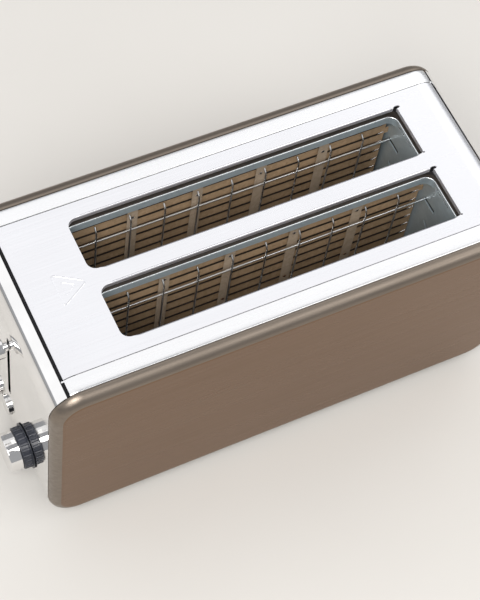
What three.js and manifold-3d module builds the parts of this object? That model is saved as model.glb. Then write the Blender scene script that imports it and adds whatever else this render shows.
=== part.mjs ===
// Long-slot electric toaster with two slots, built as separate pieces.
// Millimetres, +Z up. +X runs from the control end to the far end, +Y from front to back.
// The origin is on the table, under the middle of the whole object's bounding box.

import * as THREE from 'three';
import { mergeVertices } from 'three/addons/utils/BufferGeometryUtils.js';
import Module from 'manifold-3d';

// Body
const BODY_LENGTH = 382;
const BODY_WIDTH = 172;
const DECK_HEIGHT = 188;
const SHELL_BOTTOM = 8;
const BASE_BOTTOM = 6;
const CORNER = 24;
const SHEET = 1.2;
const GAP = 0.3;
const LEVER_REACH = 28;
const GLAND_REACH = 2;
const LEFT = LEVER_REACH - (BODY_LENGTH + LEVER_REACH + GLAND_REACH) / 2;
const RIGHT = LEFT + BODY_LENGTH;

// Seams in the shell, as distances from the middle plane or from the end faces
const DECK_SEAM = 64;
const PANEL_SEAM = 77;
const PANEL_EDGE = BODY_WIDTH / 2 - PANEL_SEAM;
const LEFT_GAP = [13.5, 16];
const RIGHT_GAP = [8.2, 10.7];

// Bread slots
const SLOT_LENGTH = 270;
const SLOT_WIDTH = 45.8;
const SLOT_CORNER = 7.5;
const DECK_SLOT_INSET = 1;
const SLOT_Y = 29.3;
const SLOT_X = LEFT + 65 + SLOT_LENGTH / 2;
const LIP_DEPTH = 4;

// Heating chamber
const CHAMBER_TOP = DECK_HEIGHT - 12.5;
const CHAMBER_BOTTOM = 28;
const RIM_DEPTH = 8;
const LINER = 0.8;
const END_PLATE_X = 137;
const END_PLATE = 1;
const SHIELD_Y = 63.1;
const BOARD_Y = 57;
const BOARD_LENGTH = 267;
const BOARD_Z = [33, 173];
const STRAP_X = [-79, -26.3, 26.3, 79];
const TAB_Z = [72, 150];

// Bread guides
const WIRE = 0.9;
const GUIDE_Y = 22.3;
const GUIDE_TOP = 144;
const GUIDE_PIVOT = 38;
const GUIDE_STROKE = 12;
const GUIDE_PITCH = 27.5;

// Lift, with its travel downwards
const LIFT_TRAVEL = 68;
const LIFT_TOP = 120;
const LEVER_Y = -3;
const LEVER_Z = 142;
const ROD_X = LEFT + 40;
const ROD_Y = 14;
const SPRING_Y = -16;
const CARRIAGE_X = SLOT_X - 151;

// Controls
const CONTROL_Z = 41;
const KNOB_Y = -36;
const KNOB_RADIUS = 16.3;
const BUTTON_Y = [1, 20, 39];
const BUTTON_RADIUS = 8;
const BOARD_X = LEFT + 10;

// Base
const BASE_INSET = 17;
const FOOT_INSET = 34;
const FOOT_Y = 58;
const SCREW_INSET = 74;
const SCREW_Y = 67;
const TRAY_HALF = 55;
const GLAND_Y = 66;
const GLAND_Z = 38;

const wasm = await Module();
wasm.setup();

const toaster = new THREE.Group();
toaster.name = 'toaster';

// ---------------------------------------------------------------- finishes

function finish(color, roughness, metalness) {
  return new THREE.MeshStandardMaterial({ color, roughness, metalness });
}

const satinSteel = finish(0xe6e6ea, 0.35, 1);
const paleSteel = finish(0xf2f2f4, 0.3, 1);
const polishedSteel = finish(0xdcdcdc, 0.05, 1);
const warmSteel = finish(0x7c6552, 0.35, 0.8);
const galvanised = finish(0x8d9ba3, 0.45, 1);
const plainSteel = finish(0xa9a9aa, 0.4, 1);
const mica = finish(0x7a6249, 0.75, 0);
const ribbonAlloy = finish(0x3a3129, 0.6, 0.8);
const wireSteel = finish(0xcfcfcf, 0.25, 1);
const blackPlastic = finish(0x1c1c1e, 0.6, 0);
const ringPlastic = finish(0x26272b, 0.45, 0);
const footRubber = finish(0x161616, 0.9, 0);
const boardGreen = finish(0x2c5a38, 0.6, 0);
const copper = finish(0xa65a2a, 0.4, 1);
const nylon = finish(0xd8d4c8, 0.6, 0);

// ---------------------------------------------------------------- shapes

// Turns a closed geometry into a solid, with its faces pointing out.
function solid(geometry) {
  const bare = geometry.clone();
  bare.deleteAttribute('normal');
  bare.deleteAttribute('uv');
  const merged = mergeVertices(bare, 1e-4);
  const index = merged.index.array;
  const place = merged.attributes.position;
  const corners = [0, 1, 2].map(() => new THREE.Vector3());
  const triangles = [];
  let volume = 0;
  for (let i = 0; i < index.length; i += 3) {
    const [a, b, c] = index.slice(i, i + 3);
    if (a === b || b === c || c === a) continue;
    triangles.push([a, b, c]);
    [a, b, c].forEach((v, k) => corners[k].fromBufferAttribute(place, v));
    volume += corners[0].dot(corners[1].cross(corners[2]));
  }
  const faces = volume > 0 ? triangles : triangles.map(([a, b, c]) => [a, c, b]);
  return new wasm.Manifold(new wasm.Mesh({
    numProp: 3,
    vertProperties: new Float32Array(place.array),
    triVerts: new Uint32Array(faces.flat()),
  }));
}

function join(...parts) {
  return parts.reduce((whole, part) => whole.add(part));
}

function cut(body, ...tools) {
  return tools.reduce((rest, tool) => rest.subtract(tool), body);
}

// Adds a finished solid to the toaster as a named mesh.
function add(name, body, material) {
  const shape = body.getMesh();
  const geometry = new THREE.BufferGeometry();
  geometry.setAttribute('position', new THREE.BufferAttribute(shape.vertProperties, 3));
  geometry.setIndex(new THREE.BufferAttribute(shape.triVerts, 1));
  geometry.computeVertexNormals();
  const mesh = new THREE.Mesh(geometry, material);
  mesh.name = name;
  toaster.add(mesh);
}

function box(x, y, z) {
  const geometry = new THREE.BoxGeometry(x[1] - x[0], y[1] - y[0], z[1] - z[0]);
  geometry.translate((x[0] + x[1]) / 2, (y[0] + y[1]) / 2, (z[0] + z[1]) / 2);
  return solid(geometry);
}

const EAST = new THREE.Vector3(1, 0, 0);
const NORTH = new THREE.Vector3(0, 1, 0);
const UP = new THREE.Vector3(0, 0, 1);

// Extrudes an outline along an axis. Points are (y, z) along x, (x, z) along y and (x, y) along z.
function prism(axis, outline, span, holes = []) {
  const flat = (points) => points.map(([a, b]) => (
    axis === 'y' ? new THREE.Vector2(b, a) : new THREE.Vector2(a, b)
  ));
  const shape = new THREE.Shape(flat(outline));
  shape.holes = holes.map((hole) => new THREE.Path(flat(hole)));
  const depth = span[1] - span[0];
  const geometry = new THREE.ExtrudeGeometry(shape, { depth, bevelEnabled: false });
  geometry.translate(0, 0, span[0]);
  const bases = { x: [NORTH, UP, EAST], y: [UP, EAST, NORTH], z: [EAST, NORTH, UP] };
  geometry.applyMatrix4(new THREE.Matrix4().makeBasis(...bases[axis]));
  return solid(geometry);
}

function arc(cx, cy, radius, from, to, steps) {
  const points = [];
  for (let i = 0; i <= steps; i += 1) {
    const angle = from + ((to - from) * i) / steps;
    points.push([cx + radius * Math.cos(angle), cy + radius * Math.sin(angle)]);
  }
  return points;
}

function circle(cx, cy, radius, sides = 16) {
  return arc(cx, cy, radius, 0, 2 * Math.PI, sides).slice(0, sides);
}

function rod(axis, a, b, radius, span, sides = 16) {
  return prism(axis, circle(a, b, radius, sides), span);
}

function roundedRect(x, y, radius, steps = 5) {
  const quarter = Math.PI / 2;
  return [
    ...arc(x[1] - radius, y[0] + radius, radius, -quarter, 0, steps),
    ...arc(x[1] - radius, y[1] - radius, radius, 0, quarter, steps),
    ...arc(x[0] + radius, y[1] - radius, radius, quarter, 2 * quarter, steps),
    ...arc(x[0] + radius, y[0] + radius, radius, 2 * quarter, 3 * quarter, steps),
  ];
}

// Turns a profile of [radius, distance] points about a line along x. Distances run along
// `way` (+1 or -1) from x = start.
function turned(profile, start, way, y, z, sides = 32) {
  const points = profile.map(([radius, distance]) => new THREE.Vector2(radius, distance));
  const geometry = new THREE.LatheGeometry(points, sides);
  const across = new THREE.Vector3(0, 0, way);
  geometry.applyMatrix4(new THREE.Matrix4().makeBasis(NORTH, EAST.clone().multiplyScalar(way), across));
  geometry.translate(start, y, z);
  return solid(geometry);
}

// Turns a profile of [radius, height] points about a vertical line.
function turnedUp(profile, x, y, sides = 14) {
  const points = profile.map(([radius, height]) => new THREE.Vector2(radius, height));
  const geometry = new THREE.LatheGeometry(points, sides);
  geometry.rotateX(Math.PI / 2);
  geometry.translate(x, y, 0);
  return solid(geometry);
}

// Skins a row of loops with the same number of points, and closes both ends.
function loft(loops, capAxis) {
  const count = loops[0].length;
  const positions = loops.flat().flat();
  const faces = [];
  for (let k = 0; k < loops.length - 1; k += 1) {
    for (let i = 0; i < count; i += 1) {
      const a = k * count + i;
      const b = k * count + ((i + 1) % count);
      faces.push(a, b, b + count, a, b + count, a + count);
    }
  }
  const kept = { x: [1, 2], y: [2, 0], z: [0, 1] }[capAxis];
  const last = (loops.length - 1) * count;
  const flatten = (loop) => loop.map((p) => new THREE.Vector2(p[kept[0]], p[kept[1]]));
  const clockwise = THREE.ShapeUtils.area(flatten(loops[0])) < 0;
  const cap = (loop, first, reverse) => {
    for (const [a, b, c] of THREE.ShapeUtils.triangulateShape(flatten(loop), [])) {
      faces.push(first + a, ...(reverse ? [first + c, first + b] : [first + b, first + c]));
    }
  };
  cap(loops[0], 0, !clockwise);
  cap(loops[loops.length - 1], last, clockwise);
  const geometry = new THREE.BufferGeometry();
  geometry.setAttribute('position', new THREE.Float32BufferAttribute(positions, 3));
  geometry.setIndex(faces);
  return solid(geometry);
}

// ---------------------------------------------------------------- outer shell

// Height of the shell's top skin at x, which rolls down at both ends.
function skinHeight(x) {
  const past = Math.max(LEFT + CORNER - x, x - (RIGHT - CORNER), 0);
  return DECK_HEIGHT - CORNER + Math.sqrt(CORNER ** 2 - past ** 2);
}

const deckStations = [
  LEFT + LEFT_GAP[1],
  LEFT + CORNER - 4,
  LEFT + CORNER,
  RIGHT - CORNER,
  RIGHT - CORNER + 4,
  RIGHT - CORNER + 8,
  RIGHT - RIGHT_GAP[1],
];

function slotOutline(side, growth = 0) {
  const half = SLOT_WIDTH / 2 + growth;
  return roundedRect(
    [SLOT_X - SLOT_LENGTH / 2 - growth, SLOT_X + SLOT_LENGTH / 2 + growth],
    [side * SLOT_Y - half, side * SLOT_Y + half],
    SLOT_CORNER + growth,
    4,
  );
}

// The deck's own openings are a little narrower than the chamber's.
function deckOutline(side, growth = 0) {
  const half = SLOT_WIDTH / 2 - DECK_SLOT_INSET + growth;
  const reach = SLOT_LENGTH / 2 + growth;
  const x = [SLOT_X - reach, SLOT_X + reach];
  return roundedRect(x, [side * SLOT_Y - half, side * SLOT_Y + half], SLOT_CORNER + growth, 4);
}

function deckPlate() {
  const above = deckStations.map((x) => [x, skinHeight(x)]);
  const below = deckStations.map((x) => [x, skinHeight(x) - SHEET]).reverse();
  const half = DECK_SEAM - GAP;
  let plate = prism('y', [...above, ...below], [-half, half]);
  for (const side of [-1, 1]) {
    plate = cut(plate, prism('z', deckOutline(side), [DECK_HEIGHT - 10, DECK_HEIGHT + 5]));
    const lip = [DECK_HEIGHT - LIP_DEPTH, DECK_HEIGHT - SHEET / 2];
    plate = join(plate, prism('z', deckOutline(side, 1), lip, [deckOutline(side)]));
  }
  return plate;
}

// Crowned strip beside the deck, with a small tab bridging the shadow gap at the seam.
function deckRail(side) {
  const inner = DECK_SEAM + GAP;
  const outer = PANEL_SEAM - GAP;
  const profile = [
    [inner, 0],
    [inner + 3, 0.25],
    [inner + 7, 0.25],
    [outer - 2, -0.1],
    [outer - 0.5, -0.6],
    [outer, -1.3],
    [outer, -2.6],
    [inner, -SHEET],
  ];
  const loops = deckStations.map((x) => profile.map(([y, z]) => [x, side * y, skinHeight(x) + z]));
  const tabSpan = side > 0 ? [inner, inner + 1.2] : [-inner - 1.2, -inner];
  const bridges = [
    [LEFT + LEFT_GAP[0] + 2 * GAP, LEFT + LEFT_GAP[1] + 1],
    [RIGHT - RIGHT_GAP[1] - 1, RIGHT - RIGHT_GAP[0] - 4 * GAP],
  ].map((x) => {
    const top = Math.min(skinHeight(x[0]), skinHeight(x[1])) - 0.05;
    return box(x, tabSpan, [top - 1, top]);
  });
  return join(loft(loops, 'x'), ...bridges);
}

// Cover bent to a C: it rolls in at the deck's shadow gap and under the body at the base.
function endCover(face, inward, gapEdge) {
  const cx = face + inward * CORNER;
  const topEnd = Math.acos(1 - gapEdge / CORNER);
  const bottomEnd = (70 * Math.PI) / 180;
  const skin = (radius) => [
    ...arc(0, SHELL_BOTTOM + CORNER, radius, -bottomEnd, 0, 6),
    ...arc(0, DECK_HEIGHT - CORNER, radius, 0, topEnd, 6),
  ].map(([a, z]) => [cx - inward * a, z]);
  const outline = [...skin(CORNER), ...skin(CORNER - SHEET).reverse()];
  return prism('y', outline, [-PANEL_SEAM + GAP, PANEL_SEAM - GAP]);
}

function controlEndCover() {
  const through = [LEFT - 2, LEFT + 4];
  const leverSlot = roundedRect(
    [LEVER_Y - 2.3, LEVER_Y + 2.3],
    [LEVER_Z - LIFT_TRAVEL - 6, LEVER_Z + 10],
    2.2,
    3,
  );
  const holes = [prism('x', leverSlot, through), rod('x', KNOB_Y, CONTROL_Z, 4, through)];
  for (const y of BUTTON_Y) {
    holes.push(rod('x', y, CONTROL_Z, BUTTON_RADIUS + 0.4, through, 20));
  }
  return cut(endCover(LEFT, 1, LEFT_GAP[0]), ...holes);
}

function farEndCover() {
  const trayMouth = box([RIGHT - CORNER, RIGHT + 2], [-TRAY_HALF - 1.5, TRAY_HALF + 1.5], [0, 25]);
  const glandHole = rod('x', GLAND_Y, GLAND_Z, 6.4, [RIGHT - 4, RIGHT + 2]);
  return cut(endCover(RIGHT, -1, RIGHT_GAP[0]), trayMouth, glandHole);
}

// Pressed panel: a shallow dish whose edge rounds over to the flat face.
function sidePanel(side) {
  const dish = (skin, start) => {
    const loops = [];
    const ring = (inset, y) => roundedRect(
      [LEFT + inset, RIGHT - inset],
      [SHELL_BOTTOM + inset, DECK_HEIGHT - inset],
      CORNER - inset,
    ).map(([x, z]) => [x, side * y, z]);
    const edge = PANEL_EDGE - skin;
    if (start < PANEL_SEAM) loops.push(ring(skin, start));
    for (const angle of arc(0, 0, 1, 0, Math.PI / 2, 5)) {
      loops.push(ring(skin + edge * (1 - angle[0]), PANEL_SEAM + edge * angle[1]));
    }
    return loft(loops, 'y');
  };
  return cut(dish(0, PANEL_SEAM), dish(SHEET, PANEL_SEAM - 1));
}

function deckFrame() {
  const outline = roundedRect([LEFT + 12.5, RIGHT - 9], [-75, 75], 6, 2);
  const openings = [-1, 1].map((side) => roundedRect(
    [SLOT_X - 139, SLOT_X + 139],
    side > 0 ? [3.5, 58] : [-58, -3.5],
    9,
    2,
  ));
  return prism('z', outline, [DECK_HEIGHT - 12.2, DECK_HEIGHT - 8], openings);
}

// ---------------------------------------------------------------- heating chamber

function chamberTop() {
  const outline = roundedRect([SLOT_X - 140, SLOT_X + 140], [-SHIELD_Y, SHIELD_Y], 3, 2);
  const openings = [-1, 1].map((side) => slotOutline(side));
  let plate = prism('z', outline, [CHAMBER_TOP - LINER, CHAMBER_TOP], openings);
  for (const side of [-1, 1]) {
    const rim = [CHAMBER_TOP - RIM_DEPTH, CHAMBER_TOP - LINER / 2];
    plate = join(plate, prism('z', slotOutline(side, LINER), rim, [slotOutline(side)]));
  }
  return plate;
}

// End plate with its cut-outs: board tabs, guide wires, lift slits and rim slits.
function chamberEnd(end) {
  const span = [
    SLOT_X + end * END_PLATE_X - END_PLATE / 2,
    SLOT_X + end * END_PLATE_X + END_PLATE / 2,
  ];
  const through = [span[0] - 1, span[1] + 1];
  const plate = box(span, [-SHIELD_Y + 0.7, SHIELD_Y - 0.7], [CHAMBER_BOTTOM, CHAMBER_TOP - 1.1]);
  const openings = [];
  for (const y of [-BOARD_Y, 0, BOARD_Y]) {
    for (const z of TAB_Z) {
      openings.push(box(through, [y - 0.9, y + 0.9], [z - 3.4, z + 3.4]));
    }
  }
  for (const side of [-1, 1]) {
    const centre = side * SLOT_Y;
    openings.push(box(through, [centre - 1.3, centre + 1.3], [LIFT_TOP - 8 - LIFT_TRAVEL - 2, LIFT_TOP + 2]));
    for (const way of [-1, 1]) {
      const outer = centre + way * (GUIDE_Y + 1.6);
      const inner = centre + way * (GUIDE_Y - GUIDE_STROKE - 1.6);
      const reach = [Math.min(outer, inner), Math.max(outer, inner)];
      openings.push(box(through, reach, [GUIDE_TOP - 2.4, GUIDE_TOP + 1.5]));
      openings.push(rod('x', centre + way * GUIDE_Y, GUIDE_PIVOT, 1.4, through, 8));
      const slit = [centre + way * 4, centre + way * 10].sort((a, b) => a - b);
      openings.push(box(through, slit, [CHAMBER_TOP - 5.2, CHAMBER_TOP - 4]));
    }
  }
  return cut(plate, ...openings);
}

// Side shield with a foot flange that the base screws go into.
function chamberShield(side) {
  const x = [SLOT_X - 138, SLOT_X + 138];
  const across = (a, b) => (side > 0 ? [a, b] : [-b, -a]);
  const wall = box(x, across(SHIELD_Y - 0.4, SHIELD_Y + 0.4), [9, CHAMBER_TOP - 1.1]);
  const flange = box(x, across(SHIELD_Y - 0.4, SHIELD_Y + 8), [8.8, 9.8]);
  const holes = screwSpots.map(([sx]) => rod('z', sx, side * SCREW_Y, 1.8, [8, 11], 8));
  return cut(join(wall, flange), ...holes);
}

// Mica board with vertical straps standing on rivets over the winding.
function heaterBoard(y, faces) {
  const half = BOARD_LENGTH / 2;
  const parts = [box([SLOT_X - half, SLOT_X + half], [y - 0.5, y + 0.5], BOARD_Z)];
  for (const z of TAB_Z) {
    parts.push(box([SLOT_X - half - 5, SLOT_X + half + 5], [y - 0.5, y + 0.5], [z - 3, z + 3]));
  }
  for (const face of faces) {
    const band = (a, b) => [y + face * a, y + face * b].sort((p, q) => p - q);
    for (const x of STRAP_X) {
      const strap = [SLOT_X + x - 4.2, SLOT_X + x + 4.2];
      parts.push(box(strap, band(1.4, 1.8), [BOARD_Z[0] + 2, BOARD_Z[1] - 2]));
      for (const z of [BOARD_Z[0] + 5, BOARD_Z[1] - 5]) {
        parts.push(rod('y', SLOT_X + x, z, 1.6, band(0.4, 1.5), 6));
      }
    }
  }
  return join(...parts);
}

// Flat resistance ribbon that runs to and fro across one face of a board.
function heaterWinding(y, face) {
  const depth = [y + face * 0.8, y + face * 1.1].sort((a, b) => a - b);
  const rows = 11;
  const width = 2.2;
  const low = (row) => BOARD_Z[0] + 11 + row * 11.6;
  const high = (row) => low(row) + width;
  const [near, far] = [SLOT_X - BOARD_LENGTH / 2 + 4, SLOT_X + BOARD_LENGTH / 2 - 4];
  const outline = [];
  for (let row = 0; row < rows - 1; row += 2) {
    outline.push([far, low(row)], [far, high(row + 1)]);
    outline.push([near + width, high(row + 1)], [near + width, low(row + 2)]);
  }
  outline.push([far, low(rows - 1)], [far, high(rows - 1)], [near, high(rows - 1)]);
  for (let row = rows - 2; row > 0; row -= 2) {
    outline.push([near, low(row)], [far - width, low(row)]);
    outline.push([far - width, high(row - 1)], [near, high(row - 1)]);
  }
  outline.push([near, low(0)]);
  return prism('y', outline, depth);
}

// ---------------------------------------------------------------- bread guides and lift

// Wire guide that leans in about its bottom wire. `way` points from the slot's middle to it.
function breadGuide(slotY, way) {
  const wireY = slotY + way * GUIDE_Y;
  const barY = wireY - way * 1.6;
  const span = [SLOT_X - END_PLATE_X - 2.5, SLOT_X + END_PLATE_X + 2.5];
  const parts = [GUIDE_TOP, GUIDE_PIVOT].map((z) => rod('x', wireY, z, WIRE, span, 6));
  const path = [
    [barY, GUIDE_PIVOT - 1.5],
    [barY, GUIDE_TOP + 15],
    [barY + way * 0.9, GUIDE_TOP + 17.4],
    [barY + way * 3.2, GUIDE_TOP + 20],
  ];
  for (let k = -4; k <= 4; k += 1) {
    const x = SLOT_X + k * GUIDE_PITCH;
    const loops = path.map(([y, z]) => circle(x, y, WIRE, 5).map(([a, b]) => [a, b, z]));
    parts.push(loft(loops, 'z'));
  }
  return join(...parts);
}

function breadLift(slotY) {
  const web = box(
    [CARRIAGE_X + 1 + GAP, SLOT_X + 141],
    [slotY - 0.5, slotY + 0.5],
    [LIFT_TOP - 8, LIFT_TOP],
  );
  const fingers = [];
  for (let k = 0; k < 10; k += 1) {
    const x = SLOT_X + (k - 4.5) * 27;
    fingers.push(box([x - 1.5, x + 1.5], [slotY - 9, slotY + 9], [LIFT_TOP - 1.2, LIFT_TOP]));
  }
  return join(web, ...fingers);
}

// Cross plate behind the chamber's end, with the bush for the rod and the lever's arm.
function liftCarriage() {
  const back = CARRIAGE_X - 0.5;
  const plate = box([CARRIAGE_X - 1, CARRIAGE_X + 1], [-38, 38], [108, 154]);
  const bush = box([ROD_X - 6, back], [ROD_Y - 6, ROD_Y + 6], [112, 138]);
  const lug = box([ROD_X - 5, back], [SPRING_Y - 5, SPRING_Y + 5], [124, 128]);
  const arm = box([LEFT + 3, back], [LEVER_Y - 1.5, LEVER_Y + 1.5], [LEVER_Z - 4, LEVER_Z + 4]);
  const tip = rod('x', LEVER_Y, LEVER_Z, 1.8, [LEFT - 12, LEFT + 4], 12);
  const bore = rod('z', ROD_X, ROD_Y, 3.3, [100, 150]);
  return cut(join(plate, bush, lug, arm, tip), bore);
}

function leverHandle() {
  const reach = LEVER_REACH;
  const profile = [
    [0, 12.6],
    [2.1, 12.6],
    [2.1, 0.6],
    [3.3, 0.6],
    [3.3, 4],
    [6.9, 4],
    [7.7, 4.8],
    [7.7, reach - 1],
    [6.7, reach],
    [0, reach],
  ];
  return turned(profile, LEFT, -1, LEVER_Y, LEVER_Z, 20);
}

function liftSpring() {
  const turns = 10;
  const [bottom, top] = [128.9, 163.2];
  const radius = 4;
  const wire = 0.6;
  class Helix extends THREE.Curve {
    getPoint(t, target = new THREE.Vector3()) {
      const angle = 2 * Math.PI * turns * t;
      return target.set(
        ROD_X + radius * Math.cos(angle),
        SPRING_Y + radius * Math.sin(angle),
        bottom + (top - bottom) * t,
      );
    }
  }
  const section = new THREE.Shape(circle(0, 0, wire, 4).map(([a, b]) => new THREE.Vector2(a, b)));
  const sweep = { steps: turns * 8, extrudePath: new Helix() };
  return solid(new THREE.ExtrudeGeometry(section, sweep));
}

function springBracket() {
  const shelf = box([ROD_X - 8, SLOT_X - 137.9], [-24, 24], [163.8, 165]);
  const flange = box([SLOT_X - 138.9, SLOT_X - 137.9], [-24, 24], [156, 165]);
  return cut(join(shelf, flange), rod('z', ROD_X, ROD_Y, 3.3, [160, 168]));
}

function electromagnet() {
  const y = -2;
  const yoke = box([ROD_X - 11, ROD_X + 9], [y - 10, y + 10], [8.8, 12]);
  const coil = rod('z', ROD_X - 1, y, 8.5, [11.5, 38], 20);
  const core = rod('z', ROD_X - 1, y, 3, [37, 40.4], 12);
  return join(yoke, coil, core);
}

// ---------------------------------------------------------------- controls

function knobRing() {
  const ribs = 18;
  const outline = [];
  for (let i = 0; i < ribs; i += 1) {
    const steps = [[0, 1], [0.62, 1], [0.72, 0.955], [0.9, 0.955]];
    for (const [share, size] of steps) {
      const angle = (2 * Math.PI * (i + share)) / ribs;
      const radius = KNOB_RADIUS * size;
      outline.push([KNOB_Y + radius * Math.cos(angle), CONTROL_Z + radius * Math.sin(angle)]);
    }
  }
  const ring = prism('x', outline, [LEFT - 8, LEFT - 1]);
  const skirt = rod('x', KNOB_Y, CONTROL_Z, KNOB_RADIUS + 1.7, [LEFT - 1.2, LEFT - GAP], 24);
  return cut(join(ring, skirt), rod('x', KNOB_Y, CONTROL_Z, 3.3, [LEFT - 6.5, LEFT]));
}

function knobCap() {
  const radius = KNOB_RADIUS - 0.9;
  const profile = [[0, 8.3], [radius, 8.3], [radius, 16.8], [radius - 1.2, 18], [0, 18]];
  return turned(profile, LEFT, -1, KNOB_Y, CONTROL_Z, 28);
}

function potentiometer() {
  const can = rod('x', KNOB_Y, CONTROL_Z, 8, [LEFT + 2.5, BOARD_X - GAP]);
  return cut(can, rod('x', KNOB_Y, CONTROL_Z, 3.3, [LEFT, BOARD_X + 1]));
}

function pushButton(y) {
  const profile = [
    [0, 5.2],
    [BUTTON_RADIUS, 5.2],
    [BUTTON_RADIUS, 4],
    [BUTTON_RADIUS + 1.2, 4],
    [BUTTON_RADIUS + 1.2, 2.4],
    [BUTTON_RADIUS, 2.4],
    [BUTTON_RADIUS, -2],
    [BUTTON_RADIUS - 0.6, -2.6],
    [0, -2.6],
  ];
  return turned(profile, LEFT, 1, y, CONTROL_Z, 18);
}

// Circuit board with a switch behind each button, a relay, a transformer and a capacitor.
function controlBoard() {
  const front = [BOARD_X, BOARD_X + 1.6];
  const mount = front[1] - 0.2;
  const parts = [box(front, [-68, 62], [22, 62])];
  for (const y of BUTTON_Y) {
    const z = [CONTROL_Z - 3, CONTROL_Z + 3];
    parts.push(box([BOARD_X - 3, BOARD_X + 0.2], [y - 3, y + 3], z));
  }
  parts.push(box([mount, mount + 13], [-62, -43], [25, 42]));
  parts.push(box([mount, mount + 9], [20, 44], [24, 37]));
  parts.push(rod('x', 52, 46, 5, [mount, mount + 12], 12));
  return join(...parts);
}

// ---------------------------------------------------------------- base

const footSpots = [];
const screwSpots = [];
for (const x of [LEFT + FOOT_INSET, RIGHT - FOOT_INSET]) {
  for (const y of [-FOOT_Y, FOOT_Y]) footSpots.push([x, y]);
}
for (const x of [LEFT + SCREW_INSET, RIGHT - SCREW_INSET]) {
  for (const y of [-SCREW_Y, SCREW_Y]) screwSpots.push([x, y]);
}

function basePlate() {
  const x = [LEFT + BASE_INSET, RIGHT - BASE_INSET];
  const y = [-75.5, 75.5];
  const shrink = ([a, b]) => [a + 2, b - 2];
  const floor = prism('z', roundedRect(x, y, 10, 3), [BASE_BOTTOM, 8.5]);
  const inside = roundedRect(shrink(x), shrink(y), 8, 3);
  const wall = prism('z', roundedRect(x, y, 10, 3), [8.3, 20], [inside]);
  const ribs = [-50, 50].map((ry) => box([-110, x[1] - 1], [ry - 1, ry + 1], [8.3, 10.2]));
  const trayMouth = box([x[1] - 3, x[1] + 1], [-TRAY_HALF - 2, TRAY_HALF + 2], [10.2, 30]);
  const cuts = [trayMouth];
  for (const [fx, fy] of footSpots) cuts.push(rod('z', fx, fy, 3.3, [0, 12], 8));
  for (const [sx, sy] of screwSpots) cuts.push(rod('z', sx, sy, 1.8, [0, 12], 8));
  for (const vent of [21.5, 52, 57.5]) {
    cuts.push(box([LEFT + vent, LEFT + vent + 3], [-30, 30], [0, 12]));
  }
  return cut(join(floor, wall, ...ribs), ...cuts);
}

function foot([x, y]) {
  const top = BASE_BOTTOM - GAP;
  const profile = [[0, 0], [8, 0], [9, 1], [9, top], [3, top], [3, 9.5], [0, 9.5]];
  return turnedUp(profile, x, y);
}

function baseScrew([x, y]) {
  const head = BASE_BOTTOM - GAP;
  const profile = [[0, 4.2], [2.6, 4.2], [3.4, 4.9], [3.4, head], [1.5, head], [1.5, 14], [0, 14]];
  return turnedUp(profile, x, y, 10);
}

function crumbTray() {
  const wallZ = [10.5, 18];
  const x = [SLOT_X - 125, RIGHT - 2.5];
  const floor = box(x, [-TRAY_HALF, TRAY_HALF], [10.5, 11.3]);
  const sides = [-1, 1].map((side) => {
    const y = [side * TRAY_HALF, side * (TRAY_HALF - 0.8)].sort((a, b) => a - b);
    return box(x, y, wallZ);
  });
  const back = box([x[0], x[0] + 0.8], [-TRAY_HALF, TRAY_HALF], wallZ);
  const front = box([RIGHT - 3, RIGHT - 1.8], [-TRAY_HALF - 1, TRAY_HALF + 1], [9, 24.5]);
  const lip = box([RIGHT - 2.5, RIGHT + 1.5], [-22, 22], [9, 10.2]);
  return join(floor, ...sides, back, front, lip);
}

function cordGland() {
  const rim = GLAND_REACH;
  const profile = [[3.6, -6], [6, -6], [6, GAP], [8, GAP], [8, 1.3], [7.3, rim], [3.6, rim], [3.6, -6]];
  return turned(profile, RIGHT, 1, GLAND_Y, GLAND_Z, 16);
}

function terminalBlock() {
  const block = box([RIGHT - 38, RIGHT - 24], [62, 72], [8.8, 20]);
  const screws = [RIGHT - 34.5, RIGHT - 27.5].map((x) => rod('z', x, 67, 2.2, [19.5, 22], 8));
  return join(block, ...screws);
}

// ---------------------------------------------------------------- assembly

const sides = { front: -1, back: 1 };

add('deck_plate', deckPlate(), satinSteel);
add('end_cover_left', controlEndCover(), polishedSteel);
add('end_cover_right', farEndCover(), polishedSteel);
add('deck_frame', deckFrame(), blackPlastic);
for (const [name, side] of Object.entries(sides)) {
  add(`deck_rail_${name}`, deckRail(side), paleSteel);
  add(`side_panel_${name}`, sidePanel(side), warmSteel);
  add(`chamber_shield_${name}`, chamberShield(side), galvanised);
}

add('chamber_top', chamberTop(), galvanised);
add('chamber_end_left', chamberEnd(-1), galvanised);
add('chamber_end_right', chamberEnd(1), galvanised);
add('heater_board_front', heaterBoard(-BOARD_Y, [1]), mica);
add('heater_board_centre', heaterBoard(0, [-1, 1]), mica);
add('heater_board_back', heaterBoard(BOARD_Y, [-1]), mica);
add('winding_front', heaterWinding(-BOARD_Y, 1), ribbonAlloy);
add('winding_centre_front', heaterWinding(0, -1), ribbonAlloy);
add('winding_centre_back', heaterWinding(0, 1), ribbonAlloy);
add('winding_back', heaterWinding(BOARD_Y, -1), ribbonAlloy);

for (const [name, side] of Object.entries(sides)) {
  add(`guide_${name}_outer`, breadGuide(side * SLOT_Y, side), wireSteel);
  add(`guide_${name}_inner`, breadGuide(side * SLOT_Y, -side), wireSteel);
  add(`bread_lift_${name}`, breadLift(side * SLOT_Y), plainSteel);
}
add('lift_carriage', liftCarriage(), plainSteel);
add('lever_handle', leverHandle(), polishedSteel);
add('latch_armature', box([ROD_X - 10, CARRIAGE_X - 1 - GAP], [-11, 7], [109.3, 111.7]), plainSteel);
add('guide_rod', rod('z', ROD_X, ROD_Y, 3, [8.8, 168]), wireSteel);
add('lift_spring', liftSpring(), wireSteel);
add('spring_bracket', springBracket(), galvanised);
add('electromagnet', electromagnet(), copper);

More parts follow.
